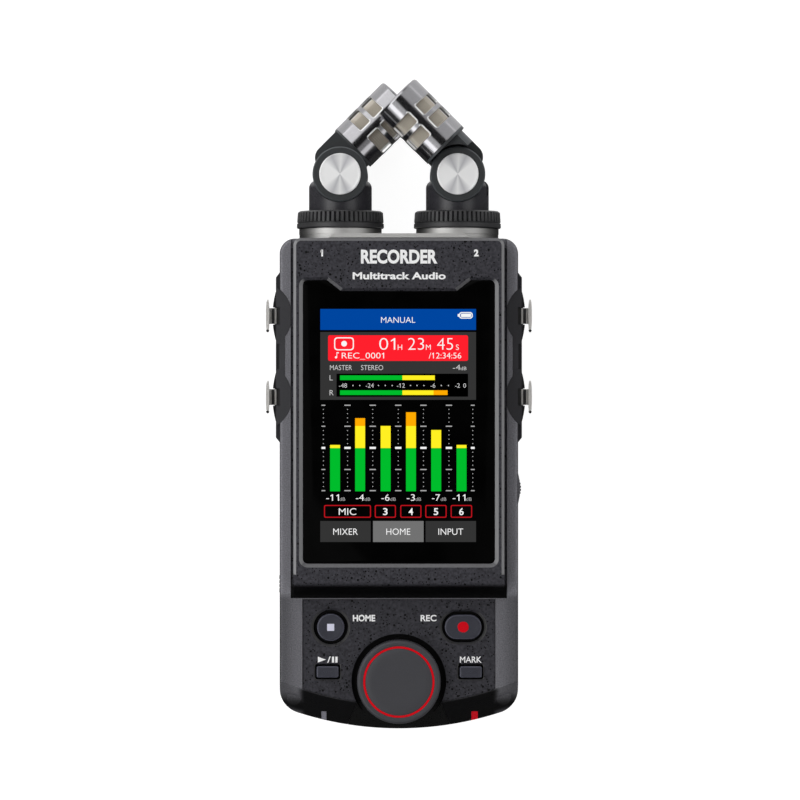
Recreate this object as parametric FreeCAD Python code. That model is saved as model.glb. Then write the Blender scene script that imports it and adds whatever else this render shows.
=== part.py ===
import FreeCAD, Part
import math
import os

# A handheld multitrack recorder with two tilting microphones, lying on its back.
# Millimetres. +X is the recorder's right, +Y runs towards the microphones, +Z comes out of the
# display. The origin is under the middle of the object, on the plane of its back.

V = FreeCAD.Vector
X_AXIS = V(1, 0, 0)
Y_AXIS = V(0, 1, 0)
Z_AXIS = V(0, 0, 1)
SIDES = {"left": -1, "right": 1}

# Case
HALF_WIDTH = 38.5
TOP_Y = 53.2
BOTTOM_Y = -105.5
TOP_CORNER_R = 5.0
BOTTOM_CORNER_R = 8.0
END_R = 106.9
END_CENTRE_Y = BOTTOM_Y + END_R
SHELL_FRONT_Z = 28.0
SPLIT_Z = 17.3
DECK_Z = (25.0, 26.2)
WALL = 2.0
BASE = 2.6
BACK_FILLET = 4.0
FRONT_FILLET = 1.2
BEVEL = 8.2
FIT = 0.1

# Display housing and glass
HOUSING_HALF = 33.9
HOUSING_LIP_HALF = 34.7
HOUSING_OPENING_HALF = 34.9
HOUSING_Z0 = 26.3
HOUSING_TOP_Z = 34.7
HOUSING_TOP_Y = 53.1
HOUSING_FACE_END_Y = -57.1
HOUSING_END_Y = -62.8
HOUSING_WALL = 1.8
HOUSING_CHAMFER = 0.9
WINDOW_HALF = 30.9
WINDOW_TOP_Y = 39.6
WINDOW_NOTCH_Y = 36.1
WINDOW_NOTCH_OUTER = 23.1
WINDOW_NOTCH_INNER = 18.6
WINDOW_BOTTOM_Y = -51.6
WINDOW_BEVEL = 1.2
GLASS_TOP_Z = 33.9
GLASS_THICK = 1.3
SCREEN_HALF = 27.5
SCREEN_Y = (-48.0, 34.0)
SCREEN_Z = (29.6, 32.4)

# Control panel, wheel and buttons
PANEL_HALF = 31.05
PANEL_TOP_Y = -63.3
PANEL_END_R = 98.6
PANEL_Z = (24.0, 27.6)
RECESS_Z = 25.6
WHEEL_Y = -89.75
WHEEL_R = 13.5
WHEEL_RECESS_R = 15.3
WHEEL_FLOOR_Z = 25.0
WHEEL_Z = (25.6, 32.0)
WHEEL_SHAFT_R = 3.0
RING_R = (10.8, 11.5)
RING_DEPTH = 0.5
BUTTON_TOP_Z = 28.6
BUTTON_FLANGE_Z = (22.95, 23.8)
BUTTON_TRAVEL = 0.6
# name: centre, button size, recess size, chamfer size (width, height), fully rounded or not
BUTTONS = {
    "home_button": ((-22.0, -72.3), (8.8, 8.8), (11.1, 11.1), (12.6, 12.6), True),
    "rec_button": ((20.75, -72.2), (11.9, 7.9), (13.6, 10.0), (15.3, 11.3), True),
    "play_button": ((-23.0, -86.7), (7.1, 3.65), (8.0, 4.85), (8.6, 5.5), False),
    "mark_button": ((23.2, -86.7), (7.1, 3.65), (8.0, 4.85), (8.6, 5.5), False),
}
TRIM_TOP_HALF = 13.6
TRIM_TOP_Y = -96.8
TRIM_END_HALF = 17.5
INDICATORS = {"power_indicator": (-25.1, -23.5), "record_indicator": (23.5, 25.6)}
INDICATOR_TOP_Y = -99.8

# Side jack panels and combo jacks
JACK_Y = (28.2, 2.0)
JACK_Z = 15.2
JACK_R = 10.6
JACK_MOUTH_R = 9.7
JACK_CORE_R = 7.4
JACK_X = (16.0, 38.2)
JACK_CORE_X = 37.4
JACK_RECESS_DEPTH = 14.0
PHONE_BORE_R = 3.2
PHONE_BORE_DEPTH = 20.0
PIN_HOLE_R = 1.3
PIN_CIRCLE_R = 5.0
ZONE_X = 35.4
ZONE_Y = (-13.0, 42.6)
ZONE_Z = (3.4, 24.5)
SCALLOP_X = 45.5
SCALLOP_R = 11.0
BAND_X = 36.8
PANEL_FACE_X = 39.8
PANEL_EDGE = 1.2
PANEL_DIP = 1.6
BULGE_X = 40.9
BULGE_R = 28.6
TAB_STEM_HALF = 2.65
TAB_PLATE_HALF = 5.3
TAB_OFFSET = (9.75, 10.45)
TAB_PLATE_X = (41.8, 42.95)
TAB_PLATE_Z = (23.9, 27.3)

# Microphones
MIC_X = 19.0
MIC_Z = 17.35
HINGE_Y = 74.0
SOCKET_R = 7.5
COLLAR_R = 13.4
COLLAR_Y = (54.7, 56.5)
RING_Y = (56.7, 62.3)
RING_TOP_R = 13.75
RING_BASE_R = 14.15
SPIGOT_R = 12.2
NECK_R = 10.2
NECK_TOP_Y = 72.4
LUG_R = 8.8
LUG_Z = (9.9, 17.4)
ARM_Z = (17.75, 24.7)
ARM_HUB_R = 8.5
SWING_R = 11.8
BAR_Z = (17.75, 21.0)
BAR_CORNER = 4.2
BAR_FOOT = -3.0
KNOB_R = 8.9
KNOB_Z = (25.0, 28.0)
CAP_R = 6.7
CAP_THICK = 0.7
HINGE_PIN_R = 2.5
HEAD_R = 8.3
HEAD_LENGTH = 21.7
HEAD_WALL = 1.2
HEAD_START = 10.0
HEAD_OFFSET = 3.75
HEAD_Z = 26.05
HEAD_ROUND = 0.9
BASE_RING = 0.8
WINDOW_ROWS = ((6.5, 10.9), (12.3, 16.8))
WINDOW_COUNT = 4
HEAD_WINDOW_ANGLE = 69.0
HEAD_WINDOW_CORNER = 0.6
# Turn of each head's first window about the head's axis, so that a bar faces the front
WINDOW_TURN = {"right": 47.5, "left": 42.5}

# Battery bay
CELL_R = 7.2
CELL_LENGTH = 50.0
CELL_PITCH = 14.7
CELL_Z = 10.2
BAY_HALF = 30.0
BAY_Y = (-96.5, -41.5)
BAY_TOP_Z = 16.6
BAY_WALL = 1.5
COVER_HALF = 31.5
COVER_Y = (-99.0, -39.6)
COVER_THICK = 1.4

# Boards
MAIN_BOARD_Z = (18.2, 19.8)
MAIN_BOARD_HALF = 35.8
CONTROL_BOARD_Z = (17.6, 19.2)
CONTROL_BOARD_HALF = 29.5

# Small controls on the sides
VOLUME_X = 32.3
VOLUME_Y = -27.7
VOLUME_R = 7.5
VOLUME_Z = (11.0, 15.0)
VOLUME_SHAFT_R = 2.0
GUARD_X = 39.4
GUARD_R = 19.5
SWITCH_Y = (-61.5, -56.0)
SWITCH_Z = (12.6, 15.4)
SWITCH_X = 38.9
SWITCH_TRAVEL = 2.0
DOOR_Y = (-39.0, -28.6)
DOOR_Z = (8.0, 16.0)
DOOR_THICK = 1.4
MINI_JACKS = {"phones": (1, -16.6), "ext_in": (-1, -16.6), "line_out": (-1, -24.0)}
MINI_HALF = 3.2
MINI_Z = 12.0
MINI_R = 1.8
MINI_DEPTH = 13.0
USB_HALF = (4.5, 1.6)
USB_Z = 10.0

# Back
TRIPOD_Y = 15.1
TRIPOD_R = 3.2
TRIPOD_DEPTH = 8.0
INSERT_R = 6.0
SPEAKER_Y = 36.0
SPEAKER_R = 9.8
SPEAKER_SLOTS = (-6, -3, 0, 3, 6)
SCREWS = ((33.2, 47.9), (34.3, -47.5), (33.9, -95.2))
POST_R = 2.4
SCREW_HEAD_R = 2.05
SCREW_SHANK_R = 1.15
SCREW_HEAD_Z = (1.0, 2.5)
SCREW_TIP_Z = 22.0


def box(x, y, z):
    """A box from three (low, high) pairs, in any order within a pair."""
    lows = [min(pair) for pair in (x, y, z)]
    highs = [max(pair) for pair in (x, y, z)]
    return Part.makeBox(*(h - l for l, h in zip(lows, highs)), V(*lows))


def rod(centre, axis, radius, length):
    return Part.makeCylinder(radius, length, V(*centre), axis)


def tube(centre, axis, outer, inner, length):
    return rod(centre, axis, outer, length).cut(rod(centre, axis, inner, length))


def prism(wire, z):
    face = Part.Face(wire)
    face.translate(V(0, 0, z[0]))
    return face.extrude(V(0, 0, z[1] - z[0]))


def polygon(points):
    """A closed wire in the XY plane."""
    corners = [V(x, y, 0) for x, y in points]
    return Part.makePolygon(corners + corners[:1])


def arc(centre, radius, start, end):
    """An arc in the XY plane between two angles in degrees."""
    angles = [math.radians(a) for a in (start, (start + end) / 2, end)]
    return Part.Arc(*(V(centre[0] + radius * math.cos(a), centre[1] + radius * math.sin(a), 0)
                      for a in angles)).toShape()


def line(a, b):
    return Part.LineSegment(V(a[0], a[1], 0), V(b[0], b[1], 0)).toShape()


def rounded_rectangle(centre, size, radius):
    """A closed wire of a rectangle with rounded corners, in the XY plane."""
    x, y = centre
    half_x = size[0] / 2 - radius
    half_y = size[1] / 2 - radius
    corners = [(x + half_x, y + half_y, 0), (x - half_x, y + half_y, 90),
               (x - half_x, y - half_y, 180), (x + half_x, y - half_y, 270)]
    edges = []
    for i, (cx, cy, start) in enumerate(corners):
        edges.append(arc((cx, cy), radius, start, start + 90))
        nx, ny, nstart = corners[(i + 1) % 4]
        a = math.radians(start + 90)
        b = math.radians(nstart)
        p = (cx + radius * math.cos(a), cy + radius * math.sin(a))
        q = (nx + radius * math.cos(b), ny + radius * math.sin(b))
        if math.dist(p, q) > 1e-6:
            edges.append(line(p, q))
    return Part.Wire(edges)


def button_wire(centre, size, full_round):
    radius = min(size) / 2 - 1e-4 if full_round else 0.6
    return rounded_rectangle(centre, size, radius)


def edges_at(shape, z):
    """The edges of a shape that lie in the plane at height z."""
    return [e for e in shape.Edges
            if abs(e.BoundBox.ZMin - z) < 1e-4 and abs(e.BoundBox.ZMax - z) < 1e-4]


def fuse(shapes):
    result = shapes[0]
    for shape in shapes[1:]:
        result = result.fuse(shape)
    return result.removeSplitter()


def cut(shape, tools):
    for tool in tools:
        shape = shape.cut(tool)
    return shape


def mirrored(shape):
    """The same shape on the other side of the recorder's middle plane."""
    return shape.mirror(V(0, 0, 0), X_AXIS)


def both_sides(shape):
    return [shape, mirrored(shape)]


def bottom_corner():
    """Centre of the lower right corner's arc, which touches the side and the arched end."""
    x = HALF_WIDTH - BOTTOM_CORNER_R
    y = END_CENTRE_Y - math.sqrt((END_R - BOTTOM_CORNER_R) ** 2 - x ** 2)
    return x, y


def outline(inset=0.0):
    """Plan outline of the case: straight sides, rounded top corners and an arched bottom end."""
    side = HALF_WIDTH - inset
    top = TOP_Y - inset
    top_centre = (HALF_WIDTH - TOP_CORNER_R, TOP_Y - TOP_CORNER_R)
    low_x, low_y = bottom_corner()
    end_angle = math.degrees(math.atan2(low_y - END_CENTRE_Y, low_x))
    top_r = TOP_CORNER_R - inset
    low_r = BOTTOM_CORNER_R - inset
    end_r = END_R - inset
    return Part.Wire([
        line((-top_centre[0], top), (top_centre[0], top)),
        arc(top_centre, top_r, 90, 0),
        line((side, top_centre[1]), (side, low_y)),
        arc((low_x, low_y), low_r, 0, end_angle),
        arc((0, END_CENTRE_Y), end_r, end_angle, -180 - end_angle),
        arc((-low_x, low_y), low_r, -180 - end_angle, -180),
        line((-side, low_y), (-side, top_centre[1])),
        arc((-top_centre[0], top_centre[1]), top_r, 180, 90),
    ])


def bevel_envelope():
    """Everything inside the bevel that runs round the arched bottom end."""
    start = SHELL_FRONT_Z - BEVEL
    low = rod((0, END_CENTRE_Y, -1), Z_AXIS, 2 * END_R, start + 1)
    top = Part.makeCone(END_R, END_R - BEVEL - 1, BEVEL + 1, V(0, END_CENTRE_Y, start), Z_AXIS)
    return low.fuse(top)


def side_section(face_x, z_low, z_high, radius):
    """Cross-section of a side panel in the XZ plane: rounded at the back, sloping at the front."""
    inner = ZONE_X - 2.0
    centre_x = face_x - radius
    bend = radius * (1 - math.sqrt(0.5))
    edge_x = face_x - PANEL_EDGE
    edge_z = z_high - PANEL_DIP
    points = [V(inner, 0, z_low), V(centre_x, 0, z_low), V(face_x, 0, z_low + radius),
              V(face_x, 0, edge_z - 2 * PANEL_EDGE), V(edge_x, 0, edge_z), V(inner, 0, z_high)]
    low_mid = V(face_x - bend, 0, z_low + bend)
    high_mid = V(face_x - 0.25 * PANEL_EDGE, 0, edge_z - 0.75 * PANEL_EDGE)
    return Part.Face(Part.Wire([
        Part.LineSegment(points[0], points[1]).toShape(),
        Part.Arc(points[1], low_mid, points[2]).toShape(),
        Part.LineSegment(points[2], points[3]).toShape(),
        Part.Arc(points[3], high_mid, points[4]).toShape(),
        Part.LineSegment(points[4], points[5]).toShape(),
        Part.LineSegment(points[5], points[0]).toShape(),
    ]))


def jack_zone(gap):
    """Space that the right side's jack panel takes out of the shells, grown by a gap."""
    far = SCALLOP_X
    low = box((ZONE_X - gap, far), (ZONE_Y[0] - gap, ZONE_Y[1] + gap),
              (ZONE_Z[0] - gap, ZONE_Z[1] + gap))
    top = (ZONE_Z[1] - 1, SHELL_FRONT_Z + 1)
    height = top[1] - top[0]
    scallops = [rod((SCALLOP_X, y, top[0]), Z_AXIS, SCALLOP_R + gap, height) for y in JACK_Y]
    between = box((BAND_X - gap, far), JACK_Y, top)
    return fuse([low, between] + scallops)


def jack_hollows(radius):
    """The right side's jack barrels, at a given radius, long enough to cut with."""
    return [rod((JACK_X[0], y, JACK_Z), X_AXIS, radius, JACK_X[1] - JACK_X[0] + FIT) for y in JACK_Y]


def tab_slot(y):
    """Room for the stem of one right-hand release tab, through everything round the barrel."""
    return box((JACK_X[1] - 7.5, BULGE_X + 1), (y - TAB_STEM_HALF - 0.2, y + TAB_STEM_HALF + 0.2),
               (JACK_Z + 9.3, JACK_Z + TAB_OFFSET[1] + 0.25))


def volume_guard():
    """Low bulge of the case around the volume wheel."""
    lens = rod((GUARD_X - GUARD_R, VOLUME_Y, VOLUME_Z[0] - 3), Z_AXIS, GUARD_R,
               VOLUME_Z[1] - VOLUME_Z[0] + 6)
    return lens.common(box((HALF_WIDTH - WALL, GUARD_X), (VOLUME_Y - 10, VOLUME_Y + 10), (0, 30)))


def side_cuts():
    """Openings in the case's two sides for the jacks, the wheel, the switch and the card door."""
    tools = both_sides(jack_zone(FIT))
    for tool in jack_hollows(JACK_R + FIT) + [tab_slot(y) for y in JACK_Y]:
        tools += both_sides(tool)
    tools.append(rod((VOLUME_X, VOLUME_Y, VOLUME_Z[0] - 0.4), Z_AXIS, VOLUME_R + 0.5,
                     VOLUME_Z[1] - VOLUME_Z[0] + 0.8))
    tools.append(box((-HALF_WIDTH - 1, -HALF_WIDTH + WALL + 1),
                     (SWITCH_Y[0] - SWITCH_TRAVEL - 0.4, SWITCH_Y[1] + SWITCH_TRAVEL + 0.4),
                     (SWITCH_Z[0] - 0.3, SWITCH_Z[1] + 0.3)))
    tools.append(box((-HALF_WIDTH - 1, -HALF_WIDTH + WALL + 1),
                     (DOOR_Y[0] - FIT, DOOR_Y[1] + FIT), (DOOR_Z[0] - FIT, DOOR_Z[1] + FIT)))
    for side, y in MINI_JACKS.values():
        tools.append(rod((side * (HALF_WIDTH - WALL - 1), y, MINI_Z), X_AXIS * side, 3.1, WALL + 2))
    return tools


def socket_holes():
    return [rod((side * MIC_X, TOP_Y - 5, MIC_Z), Y_AXIS, SOCKET_R + 0.2, 6) for side in SIDES.values()]


def usb_hole():
    return box((-USB_HALF[0] - FIT, USB_HALF[0] + FIT), (BOTTOM_Y - 1, BAY_Y[0] - BAY_WALL - FIT),
               (USB_Z - USB_HALF[1] - FIT, USB_Z + USB_HALF[1] + FIT))


def screw_posts(z, radius):
    return [post for x, y in SCREWS for post in both_sides(rod((x, y, z[0]), Z_AXIS, radius, z[1] - z[0]))]


def rear_shell():
    outer = prism(outline(), (0, SPLIT_Z))
    outer = outer.makeFillet(BACK_FILLET, edges_at(outer, 0))
    shell = outer.cut(prism(outline(WALL), (BASE, SPLIT_Z + 1)))
    shell = shell.fuse(volume_guard())
    bay_outer = box((-BAY_HALF - BAY_WALL, BAY_HALF + BAY_WALL),
                    (BAY_Y[0] - BAY_WALL, BAY_Y[1] + BAY_WALL), (BASE - 0.5, BAY_TOP_Z))
    boss = tube((0, TRIPOD_Y, BASE - 0.5), Z_AXIS, INSERT_R + 4.0, INSERT_R + 2.1, 5.0)
    posts = [post.common(outer) for post in screw_posts((SCREW_HEAD_Z[0], SPLIT_Z), POST_R)]
    shell = fuse([shell, bay_outer, boss] + posts)
    bay = box((-BAY_HALF, BAY_HALF), BAY_Y, (-1, BAY_TOP_Z + 1))
    channel = box((-COVER_HALF - FIT, COVER_HALF + FIT), (BOTTOM_Y - 1, COVER_Y[1] + FIT),
                  (-1, COVER_THICK + FIT))
    insert_hole = rod((0, TRIPOD_Y, -1), Z_AXIS, INSERT_R + 0.05, BASE + 2)
    slots = [box((-6.5, 6.5), (SPEAKER_Y + d - 0.6, SPEAKER_Y + d + 0.6), (-1, BASE + 1))
             for d in SPEAKER_SLOTS]
    heads = screw_posts((-1, SCREW_HEAD_Z[1] + 0.1), SCREW_HEAD_R + 0.15)
    shanks = screw_posts((0, SPLIT_Z + 1), SCREW_SHANK_R + 0.05)
    tools = [bay, channel, insert_hole, usb_hole()] + slots + heads + shanks + side_cuts() + socket_holes()
    top = box((-HALF_WIDTH - 3, HALF_WIDTH + 3), (BOTTOM_Y - 1, TOP_Y + 1), (SPLIT_Z, SPLIT_Z + 20))
    return cut(shell, tools + [top])


def panel_region(gap):
    """Plan of the control panel: straight at the sides and top, arched at the bottom."""
    z = (PANEL_Z[0] - 0.5, SHELL_FRONT_Z + 1)
    sheet = box((-PANEL_HALF - gap, PANEL_HALF + gap), (BOTTOM_Y, PANEL_TOP_Y + gap), z)
    return sheet.common(rod((0, END_CENTRE_Y, z[0]), Z_AXIS, PANEL_END_R + gap, z[1] - z[0]))


def trim_region(gap, z):
    """Plan of the trim piece below the wheel."""
    end_y = BOTTOM_Y - 1
    top_y = PANEL_TOP_Y - 25
    return prism(polygon([(-TRIM_TOP_HALF - gap, top_y), (TRIM_TOP_HALF + gap, top_y),
                          (TRIM_TOP_HALF + gap, TRIM_TOP_Y), (TRIM_END_HALF + gap, end_y),
                          (-TRIM_END_HALF - gap, end_y), (-TRIM_TOP_HALF - gap, TRIM_TOP_Y)]), z)


def outside_panel(gap, z):
    """The part of the bottom end that lies outside the control panel's arch."""
    return tube((0, END_CENTRE_Y, z[0]), Z_AXIS, END_R + 10, PANEL_END_R + gap, z[1] - z[0])


def front_block(z0):
    """The closed front half of the case, before it is hollowed."""
    block = prism(outline(), (z0, SHELL_FRONT_Z))
    block = block.makeFillet(FRONT_FILLET, edges_at(block, SHELL_FRONT_Z))
    return block.common(bevel_envelope())


def indicator_slot(x, gap):
    return box((x[0] - gap, x[1] + gap), (BOTTOM_Y - 1, INDICATOR_TOP_Y + gap),
               (SHELL_FRONT_Z - 10.5 - gap, SHELL_FRONT_Z))


def front_shell():
    low = SPLIT_Z + FIT
    outer = front_block(low)
    shell = outer.cut(prism(outline(WALL), (low - 1, 18.5)))
    inner = prism(outline(WALL), (18, DECK_Z[0])).common(bevel_envelope().translated(V(0, 2.6, 0)))
    shell = shell.cut(inner)
    shell = fuse([shell] + screw_posts((low, DECK_Z[0] + 0.1), POST_R))
    opening = box((-HOUSING_OPENING_HALF, HOUSING_OPENING_HALF),
                  (HOUSING_END_Y - FIT, TOP_Y + 1), (DECK_Z[1], SHELL_FRONT_Z + 1))
    cable_window = box((-12, 12), (-50, 35), (DECK_Z[0] - 1, DECK_Z[1] + 1))
    trim_z = (SHELL_FRONT_Z - 10, SHELL_FRONT_Z + 1)
    trim = trim_region(FIT, trim_z).common(outside_panel(-0.5, trim_z))
    slots = [indicator_slot(x, 0.05) for x in INDICATORS.values()]
    shanks = screw_posts((low - 1, SCREW_TIP_Z + 0.5), SCREW_SHANK_R + 0.05)
    tools = [opening, cable_window, panel_region(FIT), trim] + slots + shanks + side_cuts() + socket_holes()
    rim = box((-HALF_WIDTH - 3, HALF_WIDTH + 3), (BOTTOM_Y - 1, TOP_Y + 1), (SPLIT_Z - 20, low))
    return cut(shell, tools + [rim])


def jack_panel():
    """The right side's panel, with a bulge and a mouth at each jack."""
    top = SHELL_FRONT_Z - 0.8
    length = ZONE_Y[1] - ZONE_Y[0]
    base = side_section(PANEL_FACE_X, ZONE_Z[0], top, 3.4)
    base.translate(V(0, ZONE_Y[0], 0))
    panel = base.extrude(V(0, length, 0))
    for y in JACK_Y:
        pad = side_section(BULGE_X, ZONE_Z[0] + 0.5, top, 3.0)
        pad.translate(V(0, y - 9, 0))
        pad = pad.extrude(V(0, 18, 0))
        panel = panel.fuse(pad.common(rod((BULGE_X - BULGE_R, y, 0), Z_AXIS, BULGE_R, 30)))
    slope = 2.2
    for y, sign in ((ZONE_Y[1], 1), (ZONE_Y[0], -1)):
        corner = polygon([(PANEL_FACE_X + 3, y + sign), (HALF_WIDTH - 0.2, y + sign),
                          (HALF_WIDTH - 0.2, y), (PANEL_FACE_X + 0.2, y - sign * slope),
                          (PANEL_FACE_X + 3, y - sign * slope)])
        panel = panel.cut(prism(corner, (0, 30)))
    panel = panel.common(jack_zone(0.0))
    tools = jack_hollows(JACK_R + 0.05)
    tools.append(box((0, ZONE_X + 1.6), (-50, 60), (-1, ZONE_Z[1] - 1.5)))
    tools.append(box((0, HOUSING_OPENING_HALF), (-50, 60), (0, SHELL_FRONT_Z)))
    for y in JACK_Y:
        tools.append(rod((JACK_X[1] - 1, y, JACK_Z), X_AXIS, JACK_MOUTH_R, 6))
        tools.append(tab_slot(y))
    return cut(panel, tools)


def combo_jack(y):
    """One right-hand jack: a barrel with an annular recess round a core with four holes."""
    face, depth = JACK_X[1], JACK_RECESS_DEPTH
    body = rod((JACK_X[0], y, JACK_Z), X_AXIS, JACK_R, face - JACK_X[0])
    recess = tube((face - depth, y, JACK_Z), X_AXIS, JACK_MOUTH_R - 0.1, JACK_CORE_R, depth + 1)
    front = rod((JACK_CORE_X, y, JACK_Z), X_AXIS, JACK_MOUTH_R - 0.1, 2)
    phone = rod((JACK_CORE_X - PHONE_BORE_DEPTH, y, JACK_Z), X_AXIS, PHONE_BORE_R, PHONE_BORE_DEPTH + 1)
    tools = [recess, front, phone]
    for angle in (90, 210, 330):
        a = math.radians(angle)
        hole_y = y + PIN_CIRCLE_R * math.cos(a)
        hole_z = JACK_Z - PIN_CIRCLE_R * math.sin(a)
        tools.append(rod((JACK_CORE_X - 10, hole_y, hole_z), X_AXIS, PIN_HOLE_R, 11))
    tools.append(box((face - 8.5, face + 1), (y - TAB_STEM_HALF - 0.15, y + TAB_STEM_HALF + 0.15),
                     (JACK_Z + 9.0, JACK_Z + 12)))
    return cut(body, tools)


def release_tab(y):
    """T-shaped sheet tab that is pressed in to let a plug go."""
    z = (JACK_Z + TAB_OFFSET[0], JACK_Z + TAB_OFFSET[1])
    stem = box((JACK_X[1] - 7, TAB_PLATE_X[0] + 0.2), (y - TAB_STEM_HALF, y + TAB_STEM_HALF), z)
    plate = box(TAB_PLATE_X, (y - TAB_PLATE_HALF, y + TAB_PLATE_HALF), TAB_PLATE_Z)
    corners = [e for e in plate.Edges if abs(e.BoundBox.XLength - (TAB_PLATE_X[1] - TAB_PLATE_X[0])) < 1e-4]
    plate = plate.makeFillet(1.2, corners)
    return stem.fuse(plate).removeSplitter()


def window_wire(inset):
    """Plan of the window: a rectangle whose top edge steps down in the middle."""
    half = WINDOW_HALF - inset
    top = WINDOW_TOP_Y - 0.75 * inset
    notch = WINDOW_NOTCH_Y - 0.75 * inset
    low = WINDOW_BOTTOM_Y + inset
    outer = WINDOW_NOTCH_OUTER + inset * 0.4
    inner = WINDOW_NOTCH_INNER + inset * 0.4
    r = 1.6 - inset
    return Part.Wire([
        arc((half - r, top - r), r, 0, 90), line((half - r, top), (outer, top)),
        line((outer, top), (inner, notch)), line((inner, notch), (-inner, notch)),
        line((-inner, notch), (-outer, top)), line((-outer, top), (-half + r, top)),
        arc((-half + r, top - r), r, 90, 180), line((-half, top - r), (-half, low + r)),
        arc((-half + r, low + r), r, 180, 270), line((-half + r, low), (half - r, low)),
        arc((half - r, low + r), r, 270, 360), line((half, low + r), (half, top - r)),
    ])


def housing_apron():
    """The housing's lower end: a rounded brow above a hollow curve down to the control panel."""
    y0 = HOUSING_FACE_END_Y + 2
    top, end = HOUSING_TOP_Z, HOUSING_END_Y
    foot = SHELL_FRONT_Z + 0.05
    brow = V(0, HOUSING_FACE_END_Y, top)
    lip = V(0, -59.1, top - 1.6)
    face = Part.Face(Part.Wire([
        Part.LineSegment(V(0, y0, HOUSING_Z0), V(0, y0, top)).toShape(),
        Part.LineSegment(V(0, y0, top), brow).toShape(),
        Part.Arc(brow, V(0, -58.5, top - 0.5), lip).toShape(),
        Part.Arc(lip, V(0, -60.1, top - 4.6), V(0, end, foot)).toShape(),
        Part.LineSegment(V(0, end, foot), V(0, end, HOUSING_Z0)).toShape(),
        Part.LineSegment(V(0, end, HOUSING_Z0), V(0, y0, HOUSING_Z0)).toShape(),
    ]))
    face.translate(V(-HOUSING_HALF, 0, 0))
    return face.extrude(V(2 * HOUSING_HALF, 0, 0))


def display_housing():
    y = (HOUSING_FACE_END_Y, HOUSING_TOP_Y)
    centre = (0, sum(y) / 2)
    block = prism(rounded_rectangle(centre, (2 * HOUSING_HALF, y[1] - y[0]), 2.4),
                  (HOUSING_Z0, HOUSING_TOP_Z))
    block = block.makeChamfer(HOUSING_CHAMFER, edges_at(block, HOUSING_TOP_Z))
    apron = housing_apron()
    lip_y = (HOUSING_END_Y, HOUSING_TOP_Y - 3)
    lip = box((-HOUSING_LIP_HALF, HOUSING_LIP_HALF), lip_y, (HOUSING_Z0, HOUSING_Z0 + 1.1))
    body = fuse([block, apron, lip])
    wall = HOUSING_WALL
    hollow = box((-HOUSING_HALF + wall, HOUSING_HALF - wall), (HOUSING_FACE_END_Y, y[1] - wall),
                 (HOUSING_Z0 - 1, GLASS_TOP_Z - GLASS_THICK - 0.1))
    window = prism(window_wire(0.0), (HOUSING_Z0, HOUSING_TOP_Z + 1))
    bevel = Part.makeLoft([wire_at(window_wire(0.0), GLASS_TOP_Z - 0.1),
                           wire_at(window_wire(-WINDOW_BEVEL), HOUSING_TOP_Z + 0.02)], True, True)
    return cut(body, [hollow, window, bevel])


def wire_at(wire, z):
    wire.translate(V(0, 0, z))
    return wire


def display_glass():
    return prism(window_wire(0.05), (GLASS_TOP_Z - GLASS_THICK, GLASS_TOP_Z))


def display_module():
    """Screen with its backlight, close under the glass."""
    return box((-SCREEN_HALF, SCREEN_HALF), SCREEN_Y, SCREEN_Z)


def control_panel():
    plate = panel_region(0.0).common(box((-50, 50), (BOTTOM_Y, 0), PANEL_Z))
    tools = []
    for centre, size, recess, chamfer, full_round in BUTTONS.values():
        clear = (size[0] + 0.5, size[1] + 0.5)
        tools.append(prism(button_wire(centre, clear, full_round), (PANEL_Z[0] - 1, PANEL_Z[1] + 1)))
        tools.append(prism(button_wire(centre, recess, full_round), (RECESS_Z, PANEL_Z[1] + 1)))
        depth = (chamfer[0] - recess[0]) / 2
        low = wire_at(button_wire(centre, recess, full_round), PANEL_Z[1] - depth)
        high = wire_at(button_wire(centre, chamfer, full_round), PANEL_Z[1])
        tools.append(Part.makeLoft([low, high], True, True))
    tools.append(rod((0, WHEEL_Y, WHEEL_FLOOR_Z), Z_AXIS, WHEEL_RECESS_R, 10))
    tools.append(rod((0, WHEEL_Y, PANEL_Z[0] - 1), Z_AXIS, 8.6, 10))
    return cut(plate, tools)


def bottom_trim():
    z = (SHELL_FRONT_Z - 9.9, SHELL_FRONT_Z)
    block = front_block(z[0]).common(trim_region(0.0, z)).common(outside_panel(0.1, z))
    block = block.cut(rod((0, WHEEL_Y, WHEEL_FLOOR_Z), Z_AXIS, WHEEL_RECESS_R, 10))
    inner = rod((0, END_CENTRE_Y, z[0] - 1), Z_AXIS, END_R - 2.2, 4.0)
    return block.cut(inner)


def indicator(x):
    slot = indicator_slot(x, 0.0)
    window = front_block(SPLIT_Z + 1).common(slot)
    return window.cut(rod((0, END_CENTRE_Y, 0), Z_AXIS, END_R - 2.4, SHELL_FRONT_Z - BEVEL))


def data_wheel():
    wheel = rod((0, WHEEL_Y, WHEEL_Z[0]), Z_AXIS, WHEEL_R, WHEEL_Z[1] - WHEEL_Z[0])
    wheel = wheel.makeFillet(1.0, edges_at(wheel, WHEEL_Z[1]))
    groove = tube((0, WHEEL_Y, WHEEL_Z[1] - RING_DEPTH), Z_AXIS, RING_R[1], RING_R[0], 1)
    bore = rod((0, WHEEL_Y, WHEEL_Z[0] - 1), Z_AXIS, WHEEL_SHAFT_R + 0.05, 5.5)
    skirt = tube((0, WHEEL_Y, WHEEL_Z[0] - 1), Z_AXIS, WHEEL_R - 2, 5.0, 4.0)
    return cut(wheel, [groove, bore, skirt])


def wheel_ring():
    low = WHEEL_Z[1] - RING_DEPTH
    return tube((0, WHEEL_Y, low), Z_AXIS, RING_R[1] - 0.02, RING_R[0] + 0.02, RING_DEPTH)


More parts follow.
